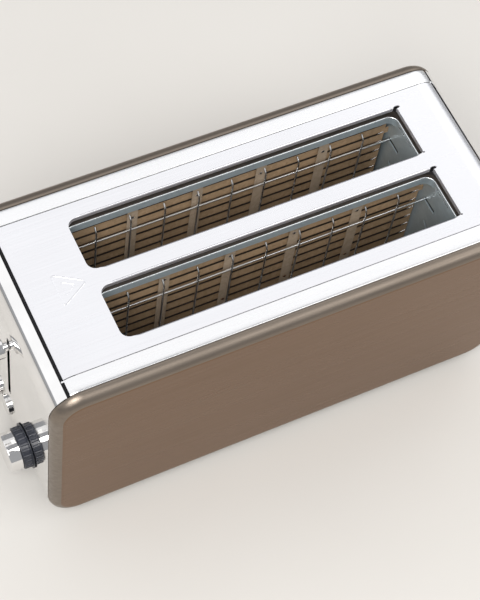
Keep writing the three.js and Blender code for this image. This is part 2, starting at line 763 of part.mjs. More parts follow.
add('knob_ring', knobRing(), ringPlastic);
add('knob_cap', knobCap(), polishedSteel);
add('knob_shaft', rod('x', KNOB_Y, CONTROL_Z, 3, [LEFT - 6.2, BOARD_X - 0.6]), nylon);
add('potentiometer', potentiometer(), blackPlastic);
BUTTON_Y.forEach((y, i) => add(`button_${i + 1}`, pushButton(y), polishedSteel));
add('control_board', controlBoard(), boardGreen);

add('base_plate', basePlate(), blackPlastic);
footSpots.forEach((spot, i) => add(`foot_${i + 1}`, foot(spot), footRubber));
screwSpots.forEach((spot, i) => add(`base_screw_${i + 1}`, baseScrew(spot), plainSteel));
add('crumb_tray', crumbTray(), plainSteel);
add('cord_gland', cordGland(), blackPlastic);
add('terminal_block', terminalBlock(), nylon);

export default toaster;
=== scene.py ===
"""The looks of a long-slot toaster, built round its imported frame.

Metres, +Z up. +X runs from the control end to the far end, +Y from the front panel to the back one.
"""

import math

import bmesh
import bpy
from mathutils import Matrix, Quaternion, Vector


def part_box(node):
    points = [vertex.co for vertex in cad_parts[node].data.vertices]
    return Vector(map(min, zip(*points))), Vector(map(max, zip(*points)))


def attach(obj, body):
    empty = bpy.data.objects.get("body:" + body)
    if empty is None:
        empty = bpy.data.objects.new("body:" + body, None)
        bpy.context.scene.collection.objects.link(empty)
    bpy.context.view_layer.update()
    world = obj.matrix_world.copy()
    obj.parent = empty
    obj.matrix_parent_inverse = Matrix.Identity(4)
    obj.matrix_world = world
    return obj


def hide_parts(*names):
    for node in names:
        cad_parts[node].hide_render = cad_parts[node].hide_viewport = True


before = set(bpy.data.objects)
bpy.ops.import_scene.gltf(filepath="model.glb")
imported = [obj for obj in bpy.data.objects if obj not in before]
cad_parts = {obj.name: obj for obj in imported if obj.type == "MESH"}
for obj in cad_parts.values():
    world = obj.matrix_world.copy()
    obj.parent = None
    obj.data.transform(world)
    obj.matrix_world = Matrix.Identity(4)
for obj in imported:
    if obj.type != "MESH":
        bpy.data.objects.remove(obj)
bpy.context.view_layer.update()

MM = 0.001
HALF_PI = math.pi / 2

# ------------------------------------------------------------------ camera and studio

CAMERA_PLACE = Vector((-0.3871, -0.5712, 1.2797))
CAMERA_AIM = Vector((-0.0248, -0.0540, 0.1880))
CAMERA_ROLL = 10.97
LENS = 108.5
SENSOR = 36


def make_camera():
    data = bpy.data.cameras.new("camera")
    data.lens = LENS
    data.sensor_width = SENSOR
    data.clip_start, data.clip_end = 0.05, 20
    camera = bpy.data.objects.new("camera", data)
    bpy.context.scene.collection.objects.link(camera)
    camera.location = CAMERA_PLACE
    camera.rotation_mode = "QUATERNION"
    level = (CAMERA_AIM - CAMERA_PLACE).to_track_quat("-Z", "Y")
    camera.rotation_quaternion = level @ Quaternion((0, 0, 1), math.radians(CAMERA_ROLL))
    bpy.context.scene.camera = camera


def soft_light(name, place, aim, size, power, color=(1, 1, 1)):
    data = bpy.data.lights.new(name, "AREA")
    data.shape = "RECTANGLE"
    data.size, data.size_y = size
    data.energy = power
    data.color = color
    light = bpy.data.objects.new(name, data)
    bpy.context.scene.collection.objects.link(light)
    light.location = place
    light.rotation_mode = "QUATERNION"
    light.rotation_quaternion = (Vector(aim) - Vector(place)).to_track_quat("-Z", "Y")


# ------------------------------------------------------------------ node helpers

def node(tree, kind, inputs=(), **settings):
    """Adds a node. Each input gets a link or a value; a number is an unnamed input's place."""
    made = tree.nodes.new(kind)
    for key, value in settings.items():
        setattr(made, key, value)
    for key, value in dict(inputs).items():
        if isinstance(value, bpy.types.NodeSocket):
            tree.links.new(value, made.inputs[key])
        else:
            made.inputs[key].default_value = value
    return made


def placed(tree, scale, turn=(0, 0, 0)):
    """The piece's own coordinates, scaled and turned."""
    place = node(tree, "ShaderNodeTexCoord").outputs["Object"]
    mapping = {"Vector": place, "Scale": scale, "Rotation": [math.radians(a) for a in turn]}
    return node(tree, "ShaderNodeMapping", mapping).outputs["Vector"]


def noise(tree, scale, detail=3.0, roughness=0.5, turn=(0, 0, 0)):
    inputs = {"Vector": placed(tree, scale, turn), "Scale": 1.0, "Detail": detail, "Roughness": roughness}
    return node(tree, "ShaderNodeTexNoise", inputs).outputs["Fac"]


def cells(tree, scale, output="Color"):
    inputs = {"Vector": placed(tree, scale), "Scale": 1.0}
    return node(tree, "ShaderNodeTexVoronoi", inputs).outputs[output]


def spread(tree, value, low, high, start=0.25, end=0.75):
    inputs = {"Value": value, "From Min": start, "From Max": end, "To Min": low, "To Max": high}
    return node(tree, "ShaderNodeMapRange", inputs).outputs["Result"]


def tone(tree, share, first, second):
    inputs = {"Fac": share}
    for key, color in (("Color1", first), ("Color2", second)):
        inputs[key] = color if isinstance(color, bpy.types.NodeSocket) else (*color, 1)
    return node(tree, "ShaderNodeMixRGB", inputs).outputs["Color"]


def relief(tree, height, strength, distance):
    inputs = {"Height": height, "Strength": strength, "Distance": distance}
    return node(tree, "ShaderNodeBump", inputs).outputs["Normal"]


def blank_finish(name, **constants):
    material = bpy.data.materials.new(name)
    material.use_nodes = True
    shader = material.node_tree.nodes["Principled BSDF"]
    for key, value in constants.items():
        shader.inputs[key.replace("_", " ").title().replace("Ior", "IOR")].default_value = value
    return material, material.node_tree, shader


def dress(tree, shader, color, roughness, normal=None):
    tree.links.new(color, shader.inputs["Base Color"])
    tree.links.new(roughness, shader.inputs["Roughness"])
    if normal is not None:
        tree.links.new(normal, shader.inputs["Normal"])


# ------------------------------------------------------------------ finishes

def brushed_finish(name, light, dark, rough, grain, depth=0.04, metallic=1.0):
    """Sheet metal with a directional grain and faint broad clouding."""
    material, tree, shader = blank_finish(name, metallic=metallic)
    streaks = noise(tree, grain, 5, 0.6)
    clouds = noise(tree, (9, 12, 12), 2)
    color = tone(tree, spread(tree, clouds, 0, 0.55), light, dark)
    color = tone(tree, spread(tree, streaks, 0, 0.5), color, dark)
    roughness = spread(tree, streaks, rough * 0.8, rough * 1.25)
    dress(tree, shader, color, roughness, relief(tree, streaks, depth, 0.0002))
    return material


def polished_finish(name, light, dark, rough):
    """Mirror steel with faint polishing swirls and handling haze."""
    material, tree, shader = blank_finish(name, metallic=1.0)
    haze = noise(tree, (30, 30, 30), 4, 0.55)
    swirls = noise(tree, (60, 900, 500), 3, 0.6, (0, 0, 30))
    color = tone(tree, spread(tree, haze, 0, 1), light, dark)
    roughness = spread(tree, haze, rough, rough * 2.6)
    dress(tree, shader, color, roughness, relief(tree, swirls, 0.012, 0.0001))
    return material


def galvanised_finish(name, light, dark, rough, metallic):
    """Zinc-coated sheet: dull blue-grey with a fine crystal spangle."""
    material, tree, shader = blank_finish(name, metallic=metallic)
    crystals = cells(tree, (260, 260, 260))
    value = node(tree, "ShaderNodeRGBToBW", {"Color": crystals}).outputs["Val"]
    bloom = noise(tree, (35, 35, 35), 4)
    color = tone(tree, spread(tree, value, 0, 0.5, 0, 1), light, dark)
    color = tone(tree, spread(tree, bloom, 0, 0.5), color, dark)
    roughness = spread(tree, value, rough * 0.85, rough * 1.2, 0, 1)
    dress(tree, shader, color, roughness, relief(tree, bloom, 0.05, 0.0004))
    return material


def mica_finish(name, light, dark, vein):
    """Pressed mica: matt brown with small flakes and heat-darkened patches."""
    material, tree, shader = blank_finish(name, specular_ior_level=0.35)
    flakes = cells(tree, (420, 420, 300))
    value = node(tree, "ShaderNodeRGBToBW", {"Color": flakes}).outputs["Val"]
    patches = noise(tree, (22, 22, 16), 4, 0.6)
    streaks = noise(tree, (40, 160, 900), 3, 0.6)
    color = tone(tree, spread(tree, value, 0, 1, 0, 1), light, dark)
    color = tone(tree, spread(tree, patches, 0, 0.7), color, dark)
    color = tone(tree, spread(tree, streaks, 0, 0.45), color, vein)
    roughness = spread(tree, value, 0.5, 0.8, 0, 1)
    dress(tree, shader, color, roughness, relief(tree, value, 0.25, 0.0002))
    return material


def moulded_finish(name, light, dark, rough, texture=1600.0, depth=0.12, specular=0.5):
    """Moulded plastic or rubber with a fine spark-eroded texture."""
    material, tree, shader = blank_finish(name, specular_ior_level=specular)
    pebble = noise(tree, (texture, texture, texture), 2)
    wear = noise(tree, (45, 45, 45), 4, 0.6)
    color = tone(tree, spread(tree, wear, 0, 1), light, dark)
    roughness = spread(tree, wear, rough * 0.85, rough * 1.15)
    dress(tree, shader, color, roughness, relief(tree, pebble, depth, 0.0002))
    return material


def wound_finish(name, light, dark, turns):
    """Enamelled wire wound in tight level turns."""
    material, tree, shader = blank_finish(name, metallic=0.8)
    inputs = {"Vector": placed(tree, (1, 1, turns)), "Scale": 1.0, "Distortion": 0.2}
    waves = node(tree, "ShaderNodeTexWave", inputs, bands_direction="Z").outputs["Fac"]
    color = tone(tree, waves, dark, light)
    dress(tree, shader, color, spread(tree, waves, 0.5, 0.28, 0, 1), relief(tree, waves, 0.6, 0.0004))
    return material


def circuit_finish(name, mask, track):
    """Solder mask with straight copper tracks under it."""
    material, tree, shader = blank_finish(name, coat_weight=0.4)
    lines = cells(tree, (1, 420, 60), "Distance")
    speckle = noise(tree, (900, 900, 900), 2)
    color = tone(tree, spread(tree, lines, 0, 1, 0.35, 0.4), mask, track)
    dress(tree, shader, color, spread(tree, speckle, 0.35, 0.5), relief(tree, lines, 0.2, 0.0001))
    return material


SATIN_DECK = brushed_finish(
    "satin deck steel", (0.90, 0.90, 0.925), (0.82, 0.82, 0.845), 0.24, (6, 800, 800), 0.012,
)
PALE_RAIL = brushed_finish(
    "pale rail steel", (0.95, 0.95, 0.955), (0.88, 0.88, 0.89), 0.26, (10, 520, 520), 0.02,
)
# The deck's own steel, rougher, and painted darker and violet-grey for the steep slot flanges: painted
# shade.
DECK_FLANGE_PAINTED_SHADE = brushed_finish(
    "deck flange painted shade", (0.80, 0.79, 0.82), (0.66, 0.65, 0.68), 0.55, (10, 300, 300),
)
MIRROR = polished_finish("mirror steel", (0.86, 0.85, 0.84), (0.76, 0.75, 0.74), 0.035)
# The panel's own brown-grey coating, warmed and darkened to stand for a reflected wood floor: partly own
# tone, partly painted reflection.
PANEL = brushed_finish(
    "panel tone and painted floor reflection", (0.216, 0.134, 0.082), (0.203, 0.125, 0.076), 0.30, (5, 900, 900), 0.012,
)
# The same sheet on its rounded bend, painted greyer to stand for reflected sky: painted reflection.
PANEL_BEND_PAINTED_REFLECTION = brushed_finish(
    "panel bend painted sky reflection", (0.27, 0.228, 0.19), (0.20, 0.166, 0.135), 0.38, (14, 420, 420), 0.06,
)
ZINC = galvanised_finish("galvanised sheet", (0.52, 0.60, 0.64), (0.38, 0.46, 0.50), 0.34, 0.45)
# The liner's zinc sheet painted lighter for its rolled rim: painted highlight.
LINER = galvanised_finish("liner rim painted highlight", (0.80, 0.84, 0.86), (0.66, 0.71, 0.74), 0.26, 0.7)
# The same sheet painted dark brown for its flat top under the deck: painted shade.
LINER_TOP_PAINTED_SHADE = galvanised_finish("liner top painted shade", (0.30, 0.26, 0.23), (0.20, 0.17, 0.15), 0.40, 0.9)
MICA = mica_finish("mica board", (0.50, 0.345, 0.205), (0.33, 0.22, 0.128), (0.58, 0.42, 0.27))
STRAP = mica_finish("mica strap", (0.50, 0.40, 0.30), (0.36, 0.28, 0.20), (0.56, 0.45, 0.34))
RIBBON = brushed_finish(
    "heating ribbon", (0.055, 0.042, 0.032), (0.025, 0.020, 0.016), 0.5, (500, 500, 60), 0.1, 0.6,
)
WIRE = polished_finish("drawn wire", (0.82, 0.82, 0.82), (0.62, 0.62, 0.62), 0.16)
SHEET_STEEL = brushed_finish(
    "plain sheet steel", (0.62, 0.62, 0.63), (0.48, 0.48, 0.49), 0.34, (15, 300, 300),
)
EYELET = brushed_finish("copper eyelet", (0.50, 0.24, 0.12), (0.30, 0.15, 0.08), 0.4, (400, 400, 400))
BLACK = moulded_finish("black plastic", (0.030, 0.030, 0.033), (0.018, 0.018, 0.020), 0.5)
KNOB_BLACK = moulded_finish("knob plastic", (0.034, 0.038, 0.052), (0.020, 0.022, 0.030), 0.34, 2200, 0.08)
RUBBER = moulded_finish("foot rubber", (0.022, 0.022, 0.022), (0.012, 0.012, 0.012), 0.8, 900, 0.25, 0.3)
NYLON = moulded_finish("natural nylon", (0.74, 0.71, 0.62), (0.66, 0.62, 0.52), 0.5, 1200, 0.06)
COPPER = wound_finish("wound copper", (0.60, 0.27, 0.10), (0.25, 0.09, 0.03), 1400)
CIRCUIT = circuit_finish("circuit board", (0.012, 0.075, 0.030), (0.03, 0.15, 0.06))
POINTER = moulded_finish("pointer paint", (0.86, 0.86, 0.84), (0.78, 0.78, 0.76), 0.45)

# ------------------------------------------------------------------ mesh helpers


def mesh_of(name, points, faces, finish):
    mesh = bpy.data.meshes.new(name)
    mesh.from_pydata([tuple(p) for p in points], [], faces)
    mesh.materials.append(finish)
    mesh.validate()
    return mesh


def facing_out(mesh):
    """Turns every face of a closed mesh outwards, after its doubled corners are merged."""
    work = bmesh.new()
    work.from_mesh(mesh)
    bmesh.ops.remove_doubles(work, verts=work.verts, dist=1e-6)
    bmesh.ops.recalc_face_normals(work, faces=work.faces)
    work.to_mesh(mesh)
    work.free()
    return mesh


def settled(mesh, *modifiers):
    """The mesh with a row of (kind, settings) modifiers applied."""
    worker = bpy.data.objects.new("worker", mesh)
    bpy.context.scene.collection.objects.link(worker)
    for kind, settings in modifiers:
        modifier = worker.modifiers.new(kind.lower(), kind)
        for key, value in settings.items():
            setattr(modifier, key, value)
    depsgraph = bpy.context.evaluated_depsgraph_get()
    result = bpy.data.meshes.new_from_object(worker.evaluated_get(depsgraph))
    bpy.data.objects.remove(worker)
    return result


def smooth(mesh, degrees=32):
    """Smooth shading in which flat faces stay flat up to their rounded edges."""
    mesh.shade_smooth()
    mesh.set_sharp_from_angle(angle=math.radians(degrees))
    return settled(mesh, ("WEIGHTED_NORMAL", {"keep_sharp": True}))


def eased(width, segments=2, degrees=50):
    """A small round on every edge sharper than this."""
    settings = {
        "width": width,
        "segments": segments,
        "limit_method": "ANGLE",
        "angle_limit": math.radians(degrees),
        "use_clamp_overlap": True,
    }
    return "BEVEL", settings


def cut_away(mesh, cutters):
    """Cuts closed meshes out of a closed mesh."""
    tools = []
    modifiers = []
    for cutter in cutters:
        tool = bpy.data.objects.new("tool", facing_out(cutter))
        bpy.context.scene.collection.objects.link(tool)
        tools.append(tool)
        modifiers.append(("BOOLEAN", {"operation": "DIFFERENCE", "solver": "MANIFOLD", "object": tool}))
    result = settled(mesh, *modifiers)
    for tool in tools:
        bpy.data.objects.remove(tool)
    return result


def joined(name, *meshes):
    """One mesh from several, each keeping its finish."""
    work = bmesh.new()
    finishes = []
    for mesh in meshes:
        first = len(work.faces)
        work.from_mesh(mesh)
        work.faces.ensure_lookup_table()
        places = []
        for finish in mesh.materials:
            if finish not in finishes:
                finishes.append(finish)
            places.append(finishes.index(finish))
        for face in work.faces[first:]:
            face.material_index = places[face.material_index]
    result = bpy.data.meshes.new(name)
    work.to_mesh(result)
    work.free()
    for finish in finishes:
        result.materials.append(finish)
    return result


def arc(centre, radius, start, end, steps):
    """Points on an arc in a plane, with angles in degrees."""
    points = []
    for i in range(steps + 1):
        angle = math.radians(start + (end - start) * i / steps)
        points.append((centre[0] + radius * math.cos(angle), centre[1] + radius * math.sin(angle)))
    return points


def rounded_rect(x, y, radius, steps=10, far_radius=None):
    """A rounded rectangle's outline as (x, y, outward x, outward y)."""
    outline = []
    far = far_radius or radius
    far_corners = ((x[1], y[0], -90, far), (x[1], y[1], 0, far))
    near_corners = ((x[0], y[1], 90, radius), (x[0], y[0], 180, radius))
    for corner_x, corner_y, start, radius in far_corners + near_corners:
        cx = corner_x - math.copysign(radius, corner_x - sum(x) / 2)
        cy = corner_y - math.copysign(radius, corner_y - sum(y) / 2)
        for nx, ny in arc((0, 0), 1, start, start + 90, steps):
            outline.append((cx + radius * nx, cy + radius * ny, nx, ny))
    return outline


def banded(name, loops, finish):
    """Skins a row of loops with equal counts and closes both ends, which makes a solid."""
    count = len(loops[0])
    points = [p for loop in loops for p in loop]
    faces = []
    for k in range(len(loops) - 1):
        for i in range(count):
            j = (i + 1) % count
            faces.append((k * count + i, k * count + j, (k + 1) * count + j, (k + 1) * count + i))
    faces.append(tuple(range(count)))
    faces.append(tuple(range(len(points) - count, len(points))))
    return facing_out(mesh_of(name, points, faces, finish))


AXES = {
    "+x": ((1, 0, 0), (0, 1, 0), (0, 0, 1)),
    "-x": ((-1, 0, 0), (0, 1, 0), (0, 0, 1)),
    "+z": ((0, 0, 1), (1, 0, 0), (0, 1, 0)),
}


def turned(name, profile, start, axis, finish, sides=64):
    """Turns (radius, distance) points about a line through start."""
    along, across, beside = (Vector(v) for v in AXES[axis])
    points, rings = [], []
    for radius, distance in profile:
        base = Vector(start) + along * distance
        if radius < 1e-9:
            rings.append([len(points)] * sides)
            points.append(base)
            continue
        rings.append(list(range(len(points), len(points) + sides)))
        for i in range(sides):
            angle = 2 * math.pi * i / sides
            points.append(base + across * (radius * math.cos(angle)) + beside * (radius * math.sin(angle)))
    faces = []
    for near, far in zip(rings, rings[1:]):
        for i in range(sides):
            j = (i + 1) % sides
            face = list(dict.fromkeys((near[i], near[j], far[j], far[i])))
            if len(face) > 2:
                faces.append(face)
    return facing_out(mesh_of(name, points, faces, finish))


def block(name, x, y, z, finish):
    points = [(a, b, c) for a in x for b in y for c in z]
    faces = [(0, 1, 3, 2), (4, 6, 7, 5), (0, 4, 5, 1), (2, 3, 7, 6), (0, 2, 6, 4), (1, 5, 7, 3)]
    return facing_out(mesh_of(name, points, faces, finish))


def prism(name, outline, place, span, finish):
    """Extrudes an outline; place(a, b, c) gives the point at a, b on level c."""
    return banded(name, [[place(p[0], p[1], level) for p in outline] for level in span], finish)


def piece(name, mesh, body="body", stands_for=()):
    mesh.name = name
    obj = bpy.data.objects.new(name, mesh)
    bpy.context.scene.collection.objects.link(obj)
    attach(obj, body)
    if stands_for:
        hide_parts(*stands_for)
    return obj


# ------------------------------------------------------------------ geometry-node helpers

class Growth:
    """A geometry-node tree with named sizes."""

    def __init__(self, name):
        self.tree = bpy.data.node_groups.new(name, "GeometryNodeTree")
        shape = {"name": "Geometry", "socket_type": "NodeSocketGeometry"}
        self.tree.interface.new_socket(in_out="INPUT", **shape)
        self.tree.interface.new_socket(in_out="OUTPUT", **shape)
        self.start = self.tree.nodes.new("NodeGroupInput")
        self.end = self.tree.nodes.new("NodeGroupOutput")
        self.sizes = {}

    def size(self, name, value):
        kind = {int: "NodeSocketInt", float: "NodeSocketFloat"}.get(type(value), "NodeSocketVector")
        self.tree.interface.new_socket(name=name, in_out="INPUT", socket_type=kind)
        self.sizes[name] = value
        return self.start.outputs[name]

    def given(self):
        return self.start.outputs["Geometry"]

    def add(self, kind, inputs=(), output=0, **settings):
        return node(self.tree, kind, inputs, **settings).outputs[output]

    def combine(self, x=0.0, y=0.0, z=0.0):
        return self.add("ShaderNodeCombineXYZ", {"X": x, "Y": y, "Z": z})

    def maths(self, operation, first, second=0.0):
        return self.add("ShaderNodeMath", {0: first, 1: second}, operation=operation)

    def vector(self, operation, first, second):
        return self.add("ShaderNodeVectorMath", {0: first, 1: second}, operation=operation)

    def join(self, *parts):
        made = self.tree.nodes.new("GeometryNodeJoinGeometry")
        for part in parts:
            self.tree.links.new(part, made.inputs[0])
        return made.outputs[0]

    def row(self, count, start, step):
        inputs = {"Count": count, "Start Location": start, "Offset": step}
        return self.add("GeometryNodeMeshLine", inputs, mode="OFFSET")

    def repeat(self, points, shape, **extra):
        return self.add("GeometryNodeInstanceOnPoints", {"Points": points, "Instance": shape, **extra})

    def move(self, shape, by=(0, 0, 0), turn=(0, 0, 0)):
        inputs = {"Geometry": shape, "Translation": by, "Rotation": turn}
        return self.add("GeometryNodeTransform", inputs)

    def wire(self, curve, radius, sides=12):
        ring = self.add("GeometryNodeCurvePrimitiveCircle", {"Resolution": sides, "Radius": radius})
        inputs = {"Curve": curve, "Profile Curve": ring, "Fill Caps": True}
        return self.add("GeometryNodeCurveToMesh", inputs)

    def painted(self, shape, finish):
        return self.add("GeometryNodeSetMaterial", {"Geometry": shape, "Material": finish})

    def grow(self, shape, seed_data, finish=None):
        """Ends the tree, runs it on the seed mesh or curve with its sizes, and returns a plain mesh."""
        whole = self.add("GeometryNodeRealizeInstances", {"Geometry": shape})
        if finish:
            whole = self.painted(whole, finish)
        self.tree.links.new(whole, self.end.inputs["Geometry"])
        worker = bpy.data.objects.new("worker", seed_data)
        bpy.context.scene.collection.objects.link(worker)
        modifier = worker.modifiers.new("growth", "NODES")
        modifier.node_group = self.tree
        for item in self.tree.interface.items_tree:
            if item.in_out == "INPUT" and item.name in self.sizes:
                modifier[item.identifier] = self.sizes[item.name]
        depsgraph = bpy.context.evaluated_depsgraph_get()
        result = bpy.data.meshes.new_from_object(worker.evaluated_get(depsgraph))
        worker.modifiers.remove(modifier)
        bpy.data.objects.remove(worker)
        return result


def line_of(name, points):
    """A plain curve through points, as the seed of a wire."""
    data = bpy.data.curves.new(name, "CURVE")
    data.dimensions = "3D"
    spline = data.splines.new("POLY")
    spline.points.add(len(points) - 1)
    for knot, point in zip(spline.points, points):
        knot.co = (*point, 1)
    return data


def nothing():
    return bpy.data.meshes.new("nothing")


# ------------------------------------------------------------------ the frame's main sizes

panel_low, panel_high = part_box("side_panel_front")
back_panel_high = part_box("side_panel_back")[1]
deck_low, deck_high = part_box("deck_plate")
liner_low, liner_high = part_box("chamber_top")
cover_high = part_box("end_cover_left")[1]

LEFT, RIGHT = panel_low.x, panel_high.x
BACK = back_panel_high.y
DECK_TOP = deck_high.z
SHELL_BOTTOM = panel_low.z
CORNER = 24 * MM
SHEET = 1.2 * MM
PANEL_SEAM = -panel_high.y
PANEL_EDGE = BACK - PANEL_SEAM
DECK_SEAM = deck_high.y
COVER_HALF = cover_high.y
LEFT_GAP, RIGHT_GAP = deck_low.x - LEFT, RIGHT - deck_high.x
GAP_WIDTH = 2.5 * MM

SLOT_X = (liner_low.x + liner_high.x) / 2
SLOT_Y = 29.3 * MM
SLOT_HALF_X = 135 * MM
DECK_SLOT_HALF_X = 134 * MM
DECK_SLOT_HALF_Y = 21.9 * MM
LINER_SLOT_HALF_Y = 22.9 * MM
SLOT_CORNER = 7 * MM
FAR_CORNER = 2.6 * MM
SIDES = {"front": -1, "back": 1}
DECK_SKIRT = 4 * MM
STEEP = 0.75
NEARLY_FLAT = 0.97

# ------------------------------------------------------------------ outer shell


def skin_path(grow=0.0, steps=14, left=LEFT_GAP, right=RIGHT_GAP):
    """(x, z) points along the shell's top skin, rolling down at both ends."""
    low = DECK_TOP - CORNER
    left_angle = math.degrees(math.asin((CORNER - left) / CORNER))
    right_angle = math.degrees(math.asin((CORNER - right) / CORNER))
    radius = CORNER + grow
    start = arc((LEFT + CORNER, low), radius, 90 + left_angle, 90, steps)
    return start + arc((RIGHT - CORNER, low), radius, 90, 90 - right_angle, steps)


def lip_loops(outline, top, roll, skirt, steps=6):
    """Loops from the flat down round a slot's rolled edge to the bottom of its skirt."""
    loops = [[(x + nx * 2 * MM, y + ny * 2 * MM, top) for x, y, nx, ny in outline]]
    for k in range(steps + 1):
        angle = HALF_PI * k / steps
        loop = []
        for x, y, nx, ny in outline:
            radius = roll(x, y, nx, ny)
            out = radius * (1 - math.sin(angle))
            loop.append((x + nx * out, y + ny * out, top - radius * (1 - math.cos(angle))))
        loops.append(loop)
    loops.append([(x, y, top - skirt) for x, y, _, _ in outline])
    return loops


def slot_outline(side):
    """A deck slot's outline, with extra points where its long edges meet its corners."""
    x = (SLOT_X - DECK_SLOT_HALF_X, SLOT_X + DECK_SLOT_HALF_X)
    y = (side * SLOT_Y - DECK_SLOT_HALF_Y, side * SLOT_Y + DECK_SLOT_HALF_Y)
    outline = []
    plain = rounded_rect(x, y, SLOT_CORNER, far_radius=FAR_CORNER)
    for i, here in enumerate(plain):
        outline.append(here)
        there = plain[(i + 1) % len(plain)]
        gap = math.hypot(there[0] - here[0], there[1] - here[1])
        if gap > 20 * MM and abs(here[3]) > 0.9:
            for share in (1.5, 3, 4.5, 40, -40, -4.5, -3, -1.5):
                t = share * MM / gap if share > 0 else 1 + share * MM / gap
                outline.append((here[0] + (there[0] - here[0]) * t, here[1], here[2], here[3]))
    return outline


def slotted_skin(name, border, slots, finish, strips=()):
    """A flat skin with rolled slots. border is its outline; strips carry on from two of its corners."""
    work = bmesh.new()
    edges = []
    rim = [work.verts.new(p) for p in border]
    edges += [work.edges.new((a, b)) for a, b in zip(rim, rim[1:] + rim[:1])]
    for loops in slots:
        rings = [[work.verts.new(p) for p in loop] for loop in loops]
        edges += [work.edges.new((a, b)) for a, b in zip(rings[0], rings[0][1:] + rings[0][:1])]
        for near, far in zip(rings, rings[1:]):
            for i in range(len(near)):
                j = (i + 1) % len(near)
                work.faces.new((near[i], near[j], far[j], far[i]))
    bmesh.ops.triangle_fill(work, use_beauty=True, use_dissolve=False, edges=edges, normal=(0, 0, 1))
    for corners, rows in strips:
        near = [rim[c] for c in corners]
        for row in rows:
            far = [work.verts.new(p) for p in row]
            work.faces.new((near[0], near[1], far[1], far[0]))
            near = far
    bmesh.ops.recalc_face_normals(work, faces=work.faces)
    work.faces.ensure_lookup_table()
    largest = max(work.faces, key=lambda face: face.calc_area())
    if largest.normal.z < 0:
        bmesh.ops.reverse_faces(work, faces=work.faces)
    mesh = bpy.data.meshes.new(name)
    work.to_mesh(mesh)
    work.free()
    mesh.materials.append(finish)
    return mesh


def deck_roll(x, y, nx, ny):
    """The long edges are rolled; the short ends are only eased."""
    corner = FAR_CORNER if x > SLOT_X else SLOT_CORNER
    inset = DECK_SLOT_HALF_X - corner - abs(x - SLOT_X)
    share = min(max(inset / (4.5 * MM), 0), 1) if abs(ny) > 0.9 else 0
    share = share * share * (3 - 2 * share)
    return (0.3 + 1.3 * share) * MM


def deck_top():
    """The slotted deck, rolled down at both ends, with relief notches at the slots' far corners."""
    path = skin_path()
    half = DECK_SEAM
    flat = (LEFT + CORNER + MM, RIGHT - CORNER - MM)
    border = [(flat[0], -half, DECK_TOP), (flat[1], -half, DECK_TOP)]
    border += [(flat[1], half, DECK_TOP), (flat[0], half, DECK_TOP)]
    middle = len(path) // 2
    left_rows = [((x, half, z), (x, -half, z)) for x, z in reversed(path[:middle])]
    right_rows = [((x, -half, z), (x, half, z)) for x, z in path[middle:]]
    slots = []
    for side in SIDES.values():
        outline = slot_outline(side)
        slots.append(lip_loops(outline, DECK_TOP, deck_roll, DECK_SKIRT))
    skin = slotted_skin("deck", border, slots, SATIN_DECK, [((3, 0), left_rows), ((1, 2), right_rows)])
    plate = settled(skin, ("SOLIDIFY", {"thickness": SHEET, "offset": -1}))
    notches = []
    far_edge = SLOT_X + DECK_SLOT_HALF_X
    levels = (DECK_TOP - 6 * MM, DECK_TOP + 2 * MM)
    for side in SIDES.values():
        back_notch = (side * SLOT_Y + DECK_SLOT_HALF_Y + 0.1 * MM, 2.7 * MM, 1.25 * MM)
        front_notch = (side * SLOT_Y - DECK_SLOT_HALF_Y + 0.3 * MM, 1.0 * MM, 0.6 * MM)
        for y, long, wide in (back_notch, front_notch):
            outline = [(far_edge + long * a, y + wide * b) for a, b in arc((0, 0), 1, 0, 345, 23)]
            notches.append(prism("notch", outline, lambda a, b, c: (a, b, c), levels, SATIN_DECK))
    plate = settled(cut_away(plate, notches), eased(0.18 * MM))
    # Steep faces round the slots get the darker copy of the deck steel, which paints shade along the slot
    # edges.
    plate.materials.append(DECK_FLANGE_PAINTED_SHADE)
    for face in plate.polygons:
        inside = abs(face.center.x - SLOT_X) < DECK_SLOT_HALF_X + 3 * MM
        face.material_index = 1 if inside and abs(face.normal.z) < STEEP else 0
    return smooth(plate)


CROWN = 0.25


def crowned_rail(side):
    """The strip beside the deck, with a soft crown and a tab over each shadow gap."""
    inner, outer = DECK_SEAM + (0.75 if side > 0 else 0.3) * MM, COVER_HALF
    # Each point is a place across the strip and a rise above the deck in millimetres.
    profile = [(inner, -1.2), (inner, -0.35), (inner + 0.35 * MM, -0.05)]
    for share in (0.15, 0.3, 0.5, 0.7, 0.85):
        rise = CROWN * math.sin(math.pi * share)
        profile.append((inner + (outer - inner) * share, rise))
    profile += [(outer + (a - 1) * MM, b - 1.3) for a, b in arc((0, 0), 1.2, 75, 0, 5)]
    profile += [(outer + 0.2 * MM, -2.6)]
    loops = [[] for _ in skin_path()]
    for y, rise in profile:
        for loop, (x, z) in zip(loops, skin_path(rise * MM)):
            loop.append((x, side * min(y, outer), z))
    rail = banded("rail", loops, PALE_RAIL)
    tabs = []
    y = sorted((side * inner, side * (inner + 1.2 * MM)))
    left_tab = (LEFT + LEFT_GAP - 1.9 * MM, LEFT + LEFT_GAP + MM)
    right_tab = (RIGHT - RIGHT_GAP - MM, RIGHT - RIGHT_GAP + 1.3 * MM)
    for x in (left_tab, right_tab):
        nearest = min(abs(x[0] - LEFT), abs(x[1] - LEFT), abs(RIGHT - x[0]), abs(RIGHT - x[1]))
        drop = CORNER - math.sqrt(CORNER ** 2 - (CORNER - nearest) ** 2)
        z = (DECK_TOP - drop - 1.2 * MM, DECK_TOP - drop - 0.05 * MM)
        tabs.append(block("tab", x, y, z, PALE_RAIL))
    return smooth(joined("rail", rail, *tabs))


